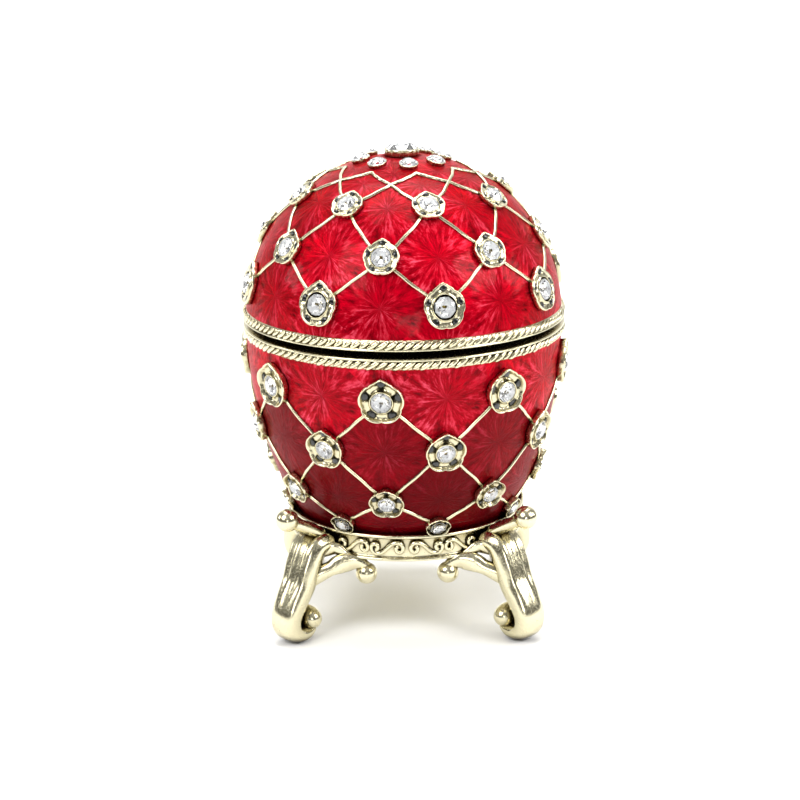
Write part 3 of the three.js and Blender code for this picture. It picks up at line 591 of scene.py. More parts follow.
@node_tree(
    "Rope round a ring", ("Radius", "Float", 0.022), ("Height", "Float", 0.0),
    ("Strands", "Int", 90), ("Slant", "Float", 0.6), ("Strand", "Vector", (0.0004, 0.0004, 0.0008)),
    ("Gap", "Float", 0.0), ("Seed", "Int", 4),
)
def rope_tree(add, inputs):
    """Lays slanting strands round a ring, with a gap at the back."""
    ring = add(
        "GeometryNodeMeshCircle", {"Vertices": inputs["Strands"], "Radius": inputs["Radius"]}
    )
    spot = add("GeometryNodeInputPosition")
    axes = add("ShaderNodeSeparateXYZ", {"Vector": spot}).outputs
    angle = add("ShaderNodeMath", {0: axes["Y"], 1: axes["X"]}, operation="ARCTAN2")
    ball = add("GeometryNodeMeshUVSphere", {"Segments": 10, "Rings": 7, "Radius": 1.0})
    smooth = add("GeometryNodeSetShadeSmooth", {"Geometry": ball})
    strand = add("GeometryNodeTransform", {"Geometry": smooth, "Scale": inputs["Strand"]})
    tilt = add("ShaderNodeCombineXYZ", {"X": inputs["Slant"]})
    slanted = add("GeometryNodeTransform", {"Geometry": strand, "Rotation": tilt})
    about = add("ShaderNodeCombineXYZ", {"Z": angle})
    # The strands differ in size, from 0.85 to 1.12
    wear = add(
        "FunctionNodeRandomValue", {2: 0.85, 3: 1.12, "Seed": inputs["Seed"]}, data_type="FLOAT"
    )
    placed = add(
        "GeometryNodeInstanceOnPoints",
        {"Points": ring, "Instance": slanted, "Rotation": about, "Scale": wear},
    )
    aside = add("ShaderNodeMath", {0: axes["X"]}, operation="ABSOLUTE")
    near = add("ShaderNodeMath", {0: aside, 1: inputs["Gap"]}, operation="LESS_THAN")
    behind = add("ShaderNodeMath", {0: axes["Y"], 1: 0.0}, operation="GREATER_THAN")
    in_gap = add("ShaderNodeMath", {0: near, 1: behind}, operation="MULTIPLY")
    kept = add(
        "GeometryNodeDeleteGeometry", {"Geometry": placed, "Selection": in_gap}, domain="INSTANCE"
    )
    lift = add("ShaderNodeCombineXYZ", {"Z": inputs["Height"]})
    return add("GeometryNodeTransform", {"Geometry": kept, "Translation": lift})


def grow(item, tree, name, **values):
    """Runs a tree on an item with these inputs, and leaves a plain mesh."""
    modifier = item.modifiers.new("grow", "NODES")
    modifier.node_group = tree
    for socket in tree.interface.items_tree:
        if socket.in_out == "INPUT" and socket.name.lower() in values:
            modifier[socket.identifier] = values[socket.name.lower()]
    return plain(item, name)


def points_item(places):
    """A mesh of points from (matrix, size) pairs, with each one's turn and size."""
    mesh = bpy.data.meshes.new("points")
    mesh.from_pydata([tuple(place.translation) for place, _ in places], [], [])
    turns = mesh.attributes.new("turn", "FLOAT_VECTOR", "POINT")
    sizes = mesh.attributes.new("size", "FLOAT_VECTOR", "POINT")
    for n, (place, size) in enumerate(places):
        turns.data[n].vector = tuple(place.to_euler("XYZ"))
        sizes.data[n].vector = size
    return link("points", mesh)


def placed(name, pattern, places, material):
    """A pattern piece repeated at places, without the pattern itself."""
    item = grow(points_item(places), placing_tree(), name, pattern=pattern, finish=material)
    bpy.data.objects.remove(pattern)
    return item


# The egg's surface


def trellis(half):
    """The heights of one half's rows, the turn of its first flower and half the turn between
    two of them."""
    egg = settings("egg")
    first = egg.lid_turn if half == "lid" else egg.bowl_turn
    return ROWS[half], first, pi / egg.columns


def half_axis(half):
    """The half axis of the ellipse of one half, upwards from the seam."""
    egg = settings("egg")
    return egg.dome if half == "lid" else -egg.bowl


def slope_at(height, half):
    """The slope parameter of a height, in millimetres away from the seam."""
    return asin(min(height * MM / abs(half_axis(half)), 1.0))


def on_egg(azimuth, slope, half, lift=0.0):
    """The frame of a point on the lid or bowl: X east, Y up the egg and Z outwards."""
    egg = settings("egg")
    axis = half_axis(half)
    out = plan(azimuth, cos(slope) / egg.radius, sin(slope) / axis).normalized()
    at = plan(azimuth, egg.radius * cos(slope), egg.seam + axis * sin(slope))
    east = Vector((cos(azimuth), sin(azimuth), 0.0))
    north = out.cross(east)
    place = Matrix((east, north, out)).transposed().to_4x4()
    place.translation = at + lift * MM * out
    return place


def row_slope(row, rows, half):
    """The slope of a place between two trellis rows. Row 0 is the first row of flowers."""
    n = min(max(floor(row + 1), 0), len(rows) - 2)
    heights = rows[n], rows[n + 1]
    slopes = [copysign(slope_at(abs(h), half), h) for h in heights]
    return slopes[0] + (row + 1 - n) * (slopes[1] - slopes[0])


def ajar_lid():
    """The turn of the lid about the hinge pin."""
    egg = settings("egg")
    center = pin_center()
    about = Matrix.Rotation(-egg.ajar, 4, "X")
    return Matrix.Translation(center) @ about @ Matrix.Translation(-center)


def pin_center():
    """The middle of the hinge pin."""
    egg = settings("egg")
    return Vector((0.0, egg.radius + settings("hinge").offset, egg.seam + 0.06 * MM))


def finish_half(half, item, slot="gold_plate", *stands_for):
    """Hands over a piece of the lid, once it is turned ajar, or one of the bowl."""
    if half == "lid":
        item.data.transform(ajar_lid())
    hang(item, "lid" if half == "lid" else "base", slot, *stands_for)


def enamel_skin(half):
    """The enamel of one half, in trellis cells, with a map that starts afresh in each cell."""
    egg = settings("egg")
    rows, first, step = trellis(half)
    low = slope_at(ENAMEL_START, half)
    high = slope_at(ENAMEL_END if half == "lid" else egg.depth / MM, half)
    around = 2 * egg.columns * CELL_STEPS
    known, points, faces, cells = {}, [], [], []

    def lattice(a, b):
        key = (a % around, b)
        if key not in known:
            slope = min(max(row_slope(b / CELL_STEPS, rows, half), low), high)
            known[key] = len(points), slope
            points.append(on_egg(first + step * a / CELL_STEPS, slope, half).translation)
        return known[key]

    for b in range(-CELL_STEPS, CELL_STEPS * (len(rows) - 2)):
        for a in range(b % 2, around, 2):
            ring = [lattice(a, b), lattice(a + 1, b + 1), lattice(a, b + 2), lattice(a - 1, b + 1)]
            slopes = [slope for _, slope in ring]
            if max(slopes) <= low or min(slopes) >= high:
                continue
            face = [index for index, _ in ring]
            faces.append(face if half == "lid" else face[::-1])
            p = floor((b + 1 + a) / (2 * CELL_STEPS))
            q = floor((b + 1 - a) / (2 * CELL_STEPS))
            cells.append((p - q, p + q + 1))
    mesh = bpy.data.meshes.new(half)
    mesh.from_pydata([tuple(p) for p in points], [], faces)
    mesh.polygons.foreach_set("use_smooth", [True] * len(mesh.polygons))
    cell_map = mesh.uv_layers.new(name="cell")
    shine = mesh.attributes.new("shine", "FLOAT", "FACE")
    for n, (column, row) in enumerate(cells):
        uneven = 0.07 * sin(5 * column + 3 * row)
        shine.data[n].value = max(CELL_PAINTED_LIGHT[half][row + 1] + uneven, 0.0)
    middles = {}
    for polygon, cell in zip(mesh.polygons, cells):
        if cell not in middles:
            slope = row_slope(cell[1], rows, half)
            middles[cell] = on_egg(first + step * cell[0], slope, half).inverted()
        for loop in polygon.loop_indices:
            local = middles[cell] @ mesh.vertices[mesh.loops[loop].vertex_index].co
            cell_map.data[loop].uv = (local.x / MM, local.y / MM)
    mesh.materials.append(red_enamel())
    item = link(half, mesh)
    wall = item.modifiers.new("wall", "SOLIDIFY")
    wall.thickness = egg.enamel
    wall.offset = -1.0
    return plain(item, half + "_enamel")


def wire_item(curves):
    """A curve object from lists of (point, radius)."""
    data = bpy.data.curves.new("wires", "CURVE")
    data.dimensions = "3D"
    for curve in curves:
        spline = data.splines.new("POLY")
        spline.points.add(len(curve) - 1)
        for n, (point, radius) in enumerate(curve):
            spline.points[n].co = (*point, 1.0)
            spline.points[n].radius = radius
    return link("wires", data)


def trellis_wires(half):
    """The wires between the flowers, worn thin near each flower."""
    egg = settings("egg")
    rows, first, step = trellis(half)
    curves = []
    for row in range(WIRE_ROWS[half]):
        for column in range(egg.columns):
            for side in (-1, 1):
                curve = []
                for n in range(WIRE_STEPS + 1):
                    t = n / WIRE_STEPS
                    azimuth = first + step * (row % 2 + 2 * column + side * t)
                    slope = row_slope(row + t, rows, half)
                    end = min(t, 1 - t)
                    phase = 2.3 * column + side + row
                    uneven = 1 + 0.16 * sin(9 * t + phase) + 0.1 * sin(31 * t + 3 * phase)
                    if row < len(FLOWERS[half]):
                        uneven *= 0.6 + 0.4 * min(1.0, 5 * max(end - 0.22, 0.0))
                    elif half == "lid":
                        uneven *= 1.5
                    place = on_egg(azimuth, slope, half, 0.06)
                    sway = 0.05 * MM * sin(17 * t + 2 * phase)
                    curve.append((place.translation + place.col[0].xyz * sway, uneven))
                curves.append(curve)
    return grow(
        wire_item(curves), wire_tree(), half + "_wires", thickness=egg.wire, sides=8,
        finish=gilt_plate(),
    )


def flower_places(half):
    """The frames of all flowers of one half, with the half width, half height and stone radius
    of each."""
    _, first, step = trellis(half)
    places = []
    for row, (height, *sizes) in enumerate(FLOWERS[half]):
        for column in range(settings("egg").columns):
            azimuth = first + step * (row % 2 + 2 * column)
            places.append((on_egg(azimuth, slope_at(height, half), half), *sizes))
    return places


# Flower cups and stones. The patterns have a radius of 1 and are scaled to size.

PETALS = 5
CUP_SIDES = 60
# How far the stones lie above the egg in millimetres, and how deep the black drops reach
STONE_LIFT = 0.82
DROP_DEPTH = 0.14


def petal_lobe(angle):
    """1 in the middle of each petal and 0 between two of them."""
    return abs(cos(PETALS / 2 * (angle - pi / 2)))


def petal_reach(angle):
    """The outline of a cup: five round petals, and a pointed tip at the top."""
    lobe = petal_lobe(angle)
    tip = max(0.0, 1 - abs(angle - pi / 2) / 0.3)
    return 0.86 + 0.08 * lobe ** 0.6 + 0.1 * tip


def petal_pulse(angle):
    """1 in the middle of each hollow of a cup and 0 between two of them."""
    return max(0.0, cos(PETALS * (angle - pi / 2))) ** 0.7


def flat_profile(angle):
    """(radius, height) of the metal of a flat cup, as on the lid, from its foot to the seat."""
    reach = petal_reach(angle)
    sag = 0.05 * petal_pulse(angle)
    return [
        (reach * 0.96, -0.06), (reach * 0.98, 0.05), (reach, 0.12), (reach, 0.19),
        (reach * 0.985, 0.225), (reach * 0.95, 0.235), (reach * 0.9, 0.22),
        (reach * 0.84, 0.205 - sag), (reach * 0.74, 0.2 - sag), (0.6, 0.2), (0.575, 0.22),
        (0.565, 0.26), (0.555, 0.275), (0.535, 0.27), (0.525, 0.24), (0.5, 0.03), (0.0001, -0.02),
    ]


def deep_profile(angle):
    """(radius, height) of the metal of a deep cup, as on the bowl: a scalloped wall round five
    hollows, and a small bezel in the middle."""
    reach = petal_reach(angle)
    rim = 0.25 + 0.05 * petal_lobe(angle)
    dip = 0.12 * petal_pulse(angle)
    return [
        (reach * 0.95, -0.06), (reach * 0.97, 0.06), (reach, rim - 0.1), (reach, rim - 0.02),
        (reach * 0.985, rim + 0.01), (reach * 0.95, rim + 0.01), (reach * 0.91, rim - 0.04),
        (reach * 0.86, rim - 0.1 - 0.4 * dip), (reach * 0.8, 0.11 - 0.5 * dip), (0.62, 0.13 - dip),
        (0.52, 0.13 - 0.5 * dip), (0.485, 0.2), (0.48, 0.25), (0.465, 0.265), (0.44, 0.26),
        (0.425, 0.03), (0.0001, -0.02),
    ]


def ring_at(radius, height, sides, shift=0.0):
    """A level ring of points about the Z axis."""
    return [
        Vector((cos(angle) * radius, sin(angle) * radius, height)) for angle in circle(sides, shift)
    ]


def cup_pattern(cup_profile):
    """The gilt part of a flower cup."""
    profiles = [(angle, cup_profile(angle)) for angle in circle(CUP_SIDES)]
    rings = [
        [Vector((cos(a) * p[n][0], sin(a) * p[n][0], p[n][1])) for a, p in profiles]
        for n in range(len(profiles[0][1]))
    ]
    return build("cup", *loft(rings))


def hollow_pattern(middle, wide, tall, height):
    """Black drops in the five hollows of a flower cup, of this half width and half length, at a
    share of the cup's outline from its middle."""
    points, faces = [], []
    sides, rings = 14, 3
    for petal in range(PETALS):
        bearing = pi / 2 + tau * petal / PETALS
        out = Vector((cos(bearing), sin(bearing), 0.0))
        across = Vector((-out.y, out.x, 0.0))
        center = out * middle * petal_reach(bearing)
        start = len(points)
        for level in range(rings):
            share = (level + 1) / rings
            for around in circle(sides):
                spot = center + out * (tall * share * cos(around))
                spot += across * (wide * share * sin(around) * (1 + 0.3 * cos(around)))
                points.append(spot + Vector((0, 0, height - 0.035 * share ** 2)))
        top = len(points)
        points += [center + Vector((0, 0, z)) for z in (height, height - DROP_DEPTH)]
        for k in range(sides):
            after = (k + 1) % sides
            faces.append((top, start + k, start + after))
            for level in range(rings - 1):
                here = start + level * sides
                faces.append((here + k, here + sides + k, here + sides + after, here + after))
            edge = start + (rings - 1) * sides
            faces.append((top + 1, edge + after, edge + k))
    return tidy_normals(build("hollows", points, faces))


def stone_pattern(sides=8):
    """A round brilliant, with its table up and its widest edge at height 0."""
    table = ring_at(0.56, 0.34, sides, 0.5)
    star = ring_at(0.8, 0.2, sides)
    edge, under = (
        [p for pair in zip(ring_at(1.0, z, sides), ring_at(1.0, z, sides, 0.5)) for p in pair]
        for z in (0.03, -0.03)
    )
    belly = ring_at(0.5, -0.28, sides, 0.5)
    points = [*table, *star, *edge, *under, *belly, Vector((0, 0, -0.45))]
    first_star, first_edge, first_belly, culet = (n * sides for n in (1, 2, 6, 7))
    lower = 2 * sides
    faces = [tuple(range(sides))]
    for k in range(sides):
        after, before = (k + 1) % sides, (k - 1) % sides
        star_k, belly_k = first_star + k, first_belly + k
        here, half = first_edge + 2 * k, first_edge + 2 * k + 1
        last_half, next_here = first_edge + 2 * before + 1, first_edge + 2 * after
        faces += [
            (before, star_k, k), (k, star_k, half), (k, half, first_star + after),
            (star_k, here, half), (star_k, last_half, here),
            (here, here + lower, half + lower, half),
            (half, half + lower, next_here + lower, next_here),
            (half + lower, here + lower, belly_k), (next_here + lower, half + lower, belly_k),
            (belly_k, here + lower, first_belly + before), (belly_k, first_belly + before, culet),
        ]
    return tidy_normals(build("stone", points, faces, smooth=False))


def foil_pattern(sides=8):
    """The faceted foil cup behind a stone."""
    profile = (
        (1.04, 0.0), (1.04, -0.05), (0.52, -0.32), (0.01, -0.51), (0.01, -0.48), (0.5, -0.3),
        (1.01, -0.02),
    )
    rings = [ring_at(radius, height, sides, 0.5) for radius, height in profile]
    return tidy_normals(build("foil", *loft(rings, closed=True), smooth=False))


def collet_pattern(sides=48):
    """A round setting with four claws, of radius 1."""
    profile = (
        (0.86, -0.7), (0.9, -0.3), (0.97, 0.3), (1.0, 0.62), (1.0, 0.76), (0.97, 0.8),
        (0.94, 0.76), (0.92, 0.55), (0.5, -0.1), (0.0001, -0.35),
    )
    rings = []
    for radius, height in profile:
        ring = []
        for angle in circle(sides):
            claw = max(0.0, cos(2 * angle)) ** 12 if height > 0.5 else 0.0
            ring.append(Vector((
                cos(angle) * radius * (1 - 0.06 * claw),
                sin(angle) * radius * (1 - 0.06 * claw), height + 0.12 * claw,
            )))
        rings.append(ring)
    return build("collet", *loft(rings))


def raised(place, lift):
    """A frame moved outwards by a lift in millimetres."""
    moved = place.copy()
    moved.translation += place.col[2].xyz * lift * MM
    return moved


def cube(size):
    """The same size in millimetres along all three axes."""
    return (size * MM,) * 3


# Bodies of the lid and bowl


def ellipse_profile(half, inset, low, high, steps):
    """(radius, height) pairs in millimetres along one half's wall, inset from its surface."""
    egg = settings("egg")
    radius = egg.radius / MM - inset
    axis = abs(half_axis(half)) / MM - inset
    sign = 1 if half == "lid" else -1
    result = []
    for n in range(steps + 1):
        height = low + (high - low) * sin(pi / 2 * n / steps)
        share = min(height / axis, 1.0)
        result.append((radius * sqrt(1 - share * share), egg.seam / MM + sign * height))
    return result


def lid_body():
    """The gilt body of the lid, under the enamel, with its plain lip at the seam."""
    egg = settings("egg")
    seam = egg.seam / MM
    skin = ellipse_profile("lid", 0.2, 1.6, egg.dome / MM - 0.2, 24)
    inner = ellipse_profile("lid", egg.lid_wall / MM, 0.6, (egg.dome - egg.lid_wall) / MM, 20)
    profile = [
        (20.75, seam + 0.14), (22.3, seam + 0.14), (22.42, seam + 0.22), (22.42, seam + 0.36),
        (22.15, seam + 0.46), (22.15, seam + 1.4), (21.9, seam + 1.62), *skin, *reversed(inner),
    ]
    return turned("lid_body", profile, BODY_SIDES)


def bowl_body():
    """The gilt body of the bowl, with the lip that the lid closes over."""
    egg = settings("egg")
    seam = egg.seam / MM
    depth = egg.depth / MM
    skin = ellipse_profile("bowl", 0.2, 1.6, depth, 20)
    inner = ellipse_profile("bowl", egg.bowl_wall / MM, 10.6, depth - egg.bowl_wall / MM, 16)
    profile = [
        (0.0, seam - depth), *reversed(skin), (21.9, seam - 1.62), (22.15, seam - 1.4),
        (22.15, seam - 0.4), (22.42, seam - 0.3), (22.42, seam - 0.12), (22.3, seam - 0.02),
        (20.45, seam - 0.02), (20.4, seam + 0.9), (20.3, seam + 1.0), (19.8, seam + 1.0),
        (19.7, seam + 0.9), *inner, (0.0, seam - depth + egg.bowl_wall / MM),
    ]
    return turned("bowl_body", profile, BODY_SIDES)


def barrel(name, pieces, radius, bevel, hole=0.0):
    """Round barrels along X at the hinge, from (start, end) pairs."""
    center = pin_center()
    made = []
    for start, end in pieces:
        low, high = min(start, end), max(start, end)
        outline = (
            (hole, low), (radius - bevel, low), (radius, low + bevel), (radius, high - bevel),
            (radius - bevel, high), (hole, high),
        )
        rings = [
            [
                center + Vector((x, max(r, POINT) * cos(a), max(r, POINT) * sin(a)))
                for a in circle(BARREL_SIDES)
            ]
            for r, x in outline
        ]
        made.append(cast(name, rings, closed=True))
    return made[0] if len(made) == 1 else join(name, made)


def knuckle_spans():
    """How far from the middle the lid's knuckle ends, and where the bowl's start and end."""
    hinge = settings("hinge")
    middle = hinge.middle / 2
    start = middle + hinge.gap
    end = start + hinge.outer
    return middle, start, end


class EggBoxPiece:
    """What all operators of the box share."""

    bl_options = {"REGISTER", "UNDO"}


class EGGBOX_OT_enamel(EggBoxPiece, bpy.types.Operator):
    """Lay the red enamel on the lid and the bowl"""

    bl_idname = "eggbox.enamel"
    bl_label = "Enamel"

    def execute(self, context):
        for half in ("lid", "bowl"):
            finish_half(half, enamel_skin(half), "red_enamel", half)
        return {"FINISHED"}


class EGGBOX_OT_bodies(EggBoxPiece, bpy.types.Operator):
    """Turn the gilt bodies of the lid and the bowl"""

    bl_idname = "eggbox.bodies"
    bl_label = "Bodies"

    def execute(self, context):
        middle, start, end = knuckle_spans()
        room = settings("hinge").knuckle + 0.25 * MM
        lid = cut(lid_body(), barrel("room", [(middle, end + MM), (-end - MM, -middle)], room, 0.0))
        bowl = cut(bowl_body(), barrel("room", [(-start, start)], room, 0.0))
        finish_half("lid", lid)
        finish_half("bowl", bowl)
        return {"FINISHED"}


class EGGBOX_OT_ropes(EggBoxPiece, bpy.types.Operator):
    """Lay the rope bands along the seam"""

    bl_idname = "eggbox.ropes"
    bl_label = "Rope bands"

    def execute(self, context):
        egg = settings("egg")
        for half, sign in (("lid", 1), ("bowl", -1)):
            rope = grow(
                build("start", [(0, 0, 0)], []), rope_tree(), half + "_rope",
                radius=egg.radius + 0.12 * MM, height=egg.seam + sign * 0.88 * MM,
                strands=egg.strands, slant=radians(34),
                strand=(0.36 * MM, 1.15 * MM, 0.37 * MM), gap=5.6 * MM, seed=4 + sign,
                finish=gilt_plate(),
            )
            finish_half(half, rope)
        return {"FINISHED"}


class EGGBOX_OT_wires(EggBoxPiece, bpy.types.Operator):
    """Lay the trellis wires"""

    bl_idname = "eggbox.wires"
    bl_label = "Trellis wires"

    def execute(self, context):
        for half in ("lid", "bowl"):
            finish_half(half, trellis_wires(half))
        return {"FINISHED"}


class EGGBOX_OT_flowers(EggBoxPiece, bpy.types.Operator):
    """Set the flower cups and their stones"""

    bl_idname = "eggbox.flowers"
    bl_label = "Flower cups and stones"

    def execute(self, context):
        for half, profile, hollow, rows in (
            ("lid", flat_profile, (0.78, 0.17, 0.15, 0.232), "cba"),
            ("bowl", deep_profile, (0.74, 0.19, 0.17, 0.165), "de"),
        ):
            cup_places, stone_places = [], []
            for place, wide, tall, stone in flower_places(half):
                depth = 3.3 if wide > 2.9 else 3.1
                cup_places.append((place, (wide * MM, tall * MM, depth * MM)))
                stone_places.append((raised(place, STONE_LIFT), cube(stone)))
            nodes = [f"stone_{row}_{n + 1}" for row in rows for n in range(settings("egg").columns)]
            gold, glass = "gold_plate", "crystal"
            for name, pattern, places, look, slot, stands_for in (
                ("_cups", cup_pattern(profile), cup_places, gilt_plate(), gold, ()),
                ("_cup_enamel", hollow_pattern(*hollow), cup_places, black_fill(), gold, ()),
                ("_foil", foil_pattern(), stone_places, mirror_foil(), glass, ()),
                ("_stones", stone_pattern(), stone_places, cut_crystal(), glass, nodes),
            ):
                item = placed(half + name, pattern, places, look)
                finish_half(half, item, slot, *stands_for)
        return {"FINISHED"}


class EGGBOX_OT_crown(EggBoxPiece, bpy.types.Operator):
    """Set the crown of stones on top of the lid"""

    bl_idname = "eggbox.crown"
    bl_label = "Crown"

    def execute(self, context):
        egg = settings("egg")
        slope = acos(egg.crown_ring / egg.radius)
        ring = [on_egg(egg.crown_turn + angle, slope, "lid") for angle in circle(egg.columns)]
        top = Matrix.Translation((0, 0, egg.seam + egg.dome))
        stones = [(raised(place, 0.5), cube(1.25)) for place in ring]
        stones.append((raised(top, 0.72), (2.25 * MM, 2.25 * MM, 2.7 * MM)))
        collets = [(place, (1.33 * MM, 1.33 * MM, 0.6 * MM)) for place in ring]
        collets.append((raised(top, -0.18), (2.42 * MM, 2.42 * MM, 1.3 * MM)))
        gilt = placed("crown_settings", collet_pattern(), collets, gilt_plate())
        finish_half("lid", gilt)
        foil = placed("crown_foil", foil_pattern(), stones, mirror_foil())
        finish_half("lid", foil, "crystal")
        nodes = ["stone_top"] + [f"stone_crown_{n + 1}" for n in range(egg.columns)]
        glass = placed("crown_stones", stone_pattern(), stones, cut_crystal())
        finish_half("lid", glass, "crystal", *nodes)
        return {"FINISHED"}


class EGGBOX_OT_hinge(EggBoxPiece, bpy.types.Operator):
    """Make the hinge's knuckles and pin"""

    bl_idname = "eggbox.hinge"
    bl_label = "Hinge"

    def execute(self, context):
        hinge = settings("hinge")
        middle, start, end = knuckle_spans()
        round_tube = hinge.knuckle, 0.12 * MM, hinge.pin + 0.08 * MM
        inner = barrel("lid_knuckle", [(-middle, middle)], *round_tube)
        outer = barrel("bowl_knuckles", [(start, end), (-end, -start)], *round_tube)
        finish_half("lid", inner)
        finish_half("bowl", outer)
        head, reach = end + 0.1 * MM, end + 0.6 * MM
        rod = barrel("rod", [(-reach, reach)], hinge.pin, 0.05 * MM)
        heads = barrel("heads", [(head, reach), (-reach, -head)], hinge.head, 0.15 * MM)
        finish_half("bowl", join("pin", [rod, heads]), "gold_plate", "hinge_pin")
        return {"FINISHED"}


# The stand

LEG_PATH = (
    # radius, height, thickness, width, depth of the flutes
    (16.6, 13.5, 3.2, 5.8, 0.3), (18.7, 13.1, 4.0, 5.5, 0.55), (20.1, 10.7, 4.0, 5.3, 0.5),
    (21.1, 8.2, 3.9, 5.1, 0.3), (22.4, 6.1, 3.7, 4.8, 0.1), (23.5, 4.0, 3.3, 4.6, 0.0),
    (23.4, 2.2, 2.9, 4.6, 0.0), (22.2, 1.25, 2.4, 4.3, 0.0), (20.7, 1.1, 2.0, 3.8, 0.0),
    (19.6, 1.6, 1.4, 3.2, 0.0),
)
ARM_PATH = (
    (16.9, 14.0, 2.2, 3.8, 0.2), (18.2, 15.1, 2.1, 3.3, 0.2), (19.9, 16.1, 1.9, 2.7, 0.12),
    (21.4, 16.9, 1.7, 2.2, 0.0), (22.6, 17.5, 1.4, 1.7, 0.0),
)
# The strip from a leg to the curl, and the one above it that leaves a small opening
LOWER_PATH = (
    # turn from the leg, radius, height, thickness, width
    (0.0, 20.4, 8.2, 2.8, 2.4), (4.0, 19.7, 9.2, 2.7, 2.2), (9.0, 18.3, 10.15, 2.1, 1.8),
    (12.0, 17.5, 10.75, 2.6, 1.7), (15.0, 16.9, 11.05, 2.7, 1.6), (19.0, 16.2, 11.1, 2.4, 1.6),
    (23.0, 15.6, 10.5, 1.7, 1.5), (24.6, 15.3, 9.6, 1.4, 1.4),
)
UPPER_PATH = (
    (0.0, 19.4, 12.4, 2.8, 1.8), (5.0, 18.5, 12.8, 2.4, 1.4), (9.5, 17.2, 12.9, 1.9, 1.1),
    (12.0, 16.8, 12.6, 1.8, 1.0), (15.0, 16.5, 12.2, 1.2, 0.9), (19.0, 16.3, 11.8, 0.6, 0.6),
)


# The power that shapes a leg's section: 1 gives an ellipse, less gives a rounded box
SQUARENESS = 0.84


def squared(value):
    """A sine or cosine pushed outwards, which turns an ellipse into a rounded box."""
    return copysign(abs(value) ** SQUARENESS, value)


def fluted_bar(name, path, steps=6, sides=36):
    """A cast bar that leans outwards in the plane X = 0, with flutes on its outer side."""
    stations = smooth_path(path, steps)
    rings = []
    for n, (radius, height, thickness, width, flute) in enumerate(stations):
        before, after = stations[max(n - 1, 0)], stations[min(n + 1, len(stations) - 1)]
        along = Vector((0, -(after[0] - before[0]), after[1] - before[1])).normalized()
        out = Vector((1, 0, 0)).cross(along)
        ring = []
        for angle in circle(sides):
            across, up = squared(cos(angle)), squared(sin(angle))
            groove = flute * abs(up) * (0.5 - 0.5 * cos(3 * pi * across))
            depth = up * thickness / 2 - copysign(groove, up)
            spot = Vector((across * width / 2, -radius, height)) + out * depth
            ring.append(spot * MM)
        rings.append(ring)
    return cast(name, rings)


def swept_bar(name, stations, sides=14):
    """A round-edged bar along (point, thickness, width, across) stations, in metres."""
    rings = []
    for n, (at, thickness, width, across) in enumerate(stations):
        before, after = stations[max(n - 1, 0)][0], stations[min(n + 1, len(stations) - 1)][0]
        along = (after - before).normalized()
        out = across.cross(along).normalized()
        rings.append([
            at + across * (cos(a) * width / 2) + out * (sin(a) * thickness / 2)
            for a in circle(sides)
        ])
    return cast(name, rings)


def bead(name, center, radius, wide=1.0, sides=32, rows=18):
    """A cast ball, made wider along X by a factor."""
    rings = []
    for n in range(rows + 1):
        tilt = pi * n / rows
        level, height = max(sin(tilt), 1e-4) * radius, -cos(tilt) * radius
        rings.append([
            center + Vector((wide * cos(a) * level, sin(a) * level, height)) for a in circle(sides)
        ])
    return cast(name, rings)


class EGGBOX_OT_legs(EggBoxPiece, bpy.types.Operator):
    """Cast the legs, with their arms, balls and brackets"""

    bl_idname = "eggbox.legs"
    bl_label = "Legs"

    def execute(self, context):
        stand = settings("stand")
        parts = [
            fluted_bar("leg", LEG_PATH), fluted_bar("arm", ARM_PATH),
            bead("foot_ball", Vector((0, -19.7, 2.85)) * MM, 1.7 * MM, 1.4),
            bead("arm_ball", Vector((0, -22.9, 17.85)) * MM, stand.ball),
        ]
        for side in (-1, 1):
            for path in (LOWER_PATH, UPPER_PATH):
                stations = []
                for swing, radius, height, thickness, width in smooth_path(path, 5):
                    azimuth = radians(side * swing)
                    at = plan(azimuth, radius * MM, height * MM)
                    stations.append((at, thickness * MM, width * MM, plan(azimuth, 1.0)))
                parts.append(swept_bar("bracket", stations))
            curl = plan(radians(side * 23.7), 15.4 * MM, 9.4 * MM)
            parts.append(bead("curl", curl, stand.curl))
        turns = [
            (Matrix.Rotation(radians(45) + angle, 4, "Z"), (1.0, 1.0, 1.0))
            for angle in circle(stand.legs)
        ]
        legs = placed("legs", join("leg_pattern", parts), turns, gilt_plate())
        hang(legs, "base")
        return {"FINISHED"}


SCROLL_STEPS = 64
SCROLL_BENDS = 7.0
# The scale of a scroll round the collar and upwards, and the height of its middle
SCROLL_WIDE, SCROLL_TALL = 4.9, 5.4
SCROLL_HEIGHT = 13.65


def scroll_curve(azimuth, side):
    """An S scroll on the collar's sunk band, as (point, radius) pairs. Its bend grows evenly
    from none in the middle to its two curled ends."""
    spots = [Vector((0.0, 0.0))]
    for n in range(SCROLL_STEPS):
        bend = SCROLL_BENDS * ((n + 0.5) / SCROLL_STEPS) ** 2 - 0.75
        spots.append(spots[-1] + Vector((cos(bend), sin(bend))) / SCROLL_STEPS)
    half = spots[1:]
    line = [-spot for spot in reversed(half)] + spots
    curve = []
    for n, spot in enumerate(line):
        across, up = SCROLL_WIDE * spot.x, SCROLL_TALL * spot.y
        swell = 1.35 - 0.5 * abs(n - SCROLL_STEPS) / SCROLL_STEPS
        radius = 16.42 + 0.12 * up
        at = plan(azimuth + side * across / 16.5, radius * MM, (SCROLL_HEIGHT + up) * MM)
        curve.append((at, swell))
    return curve


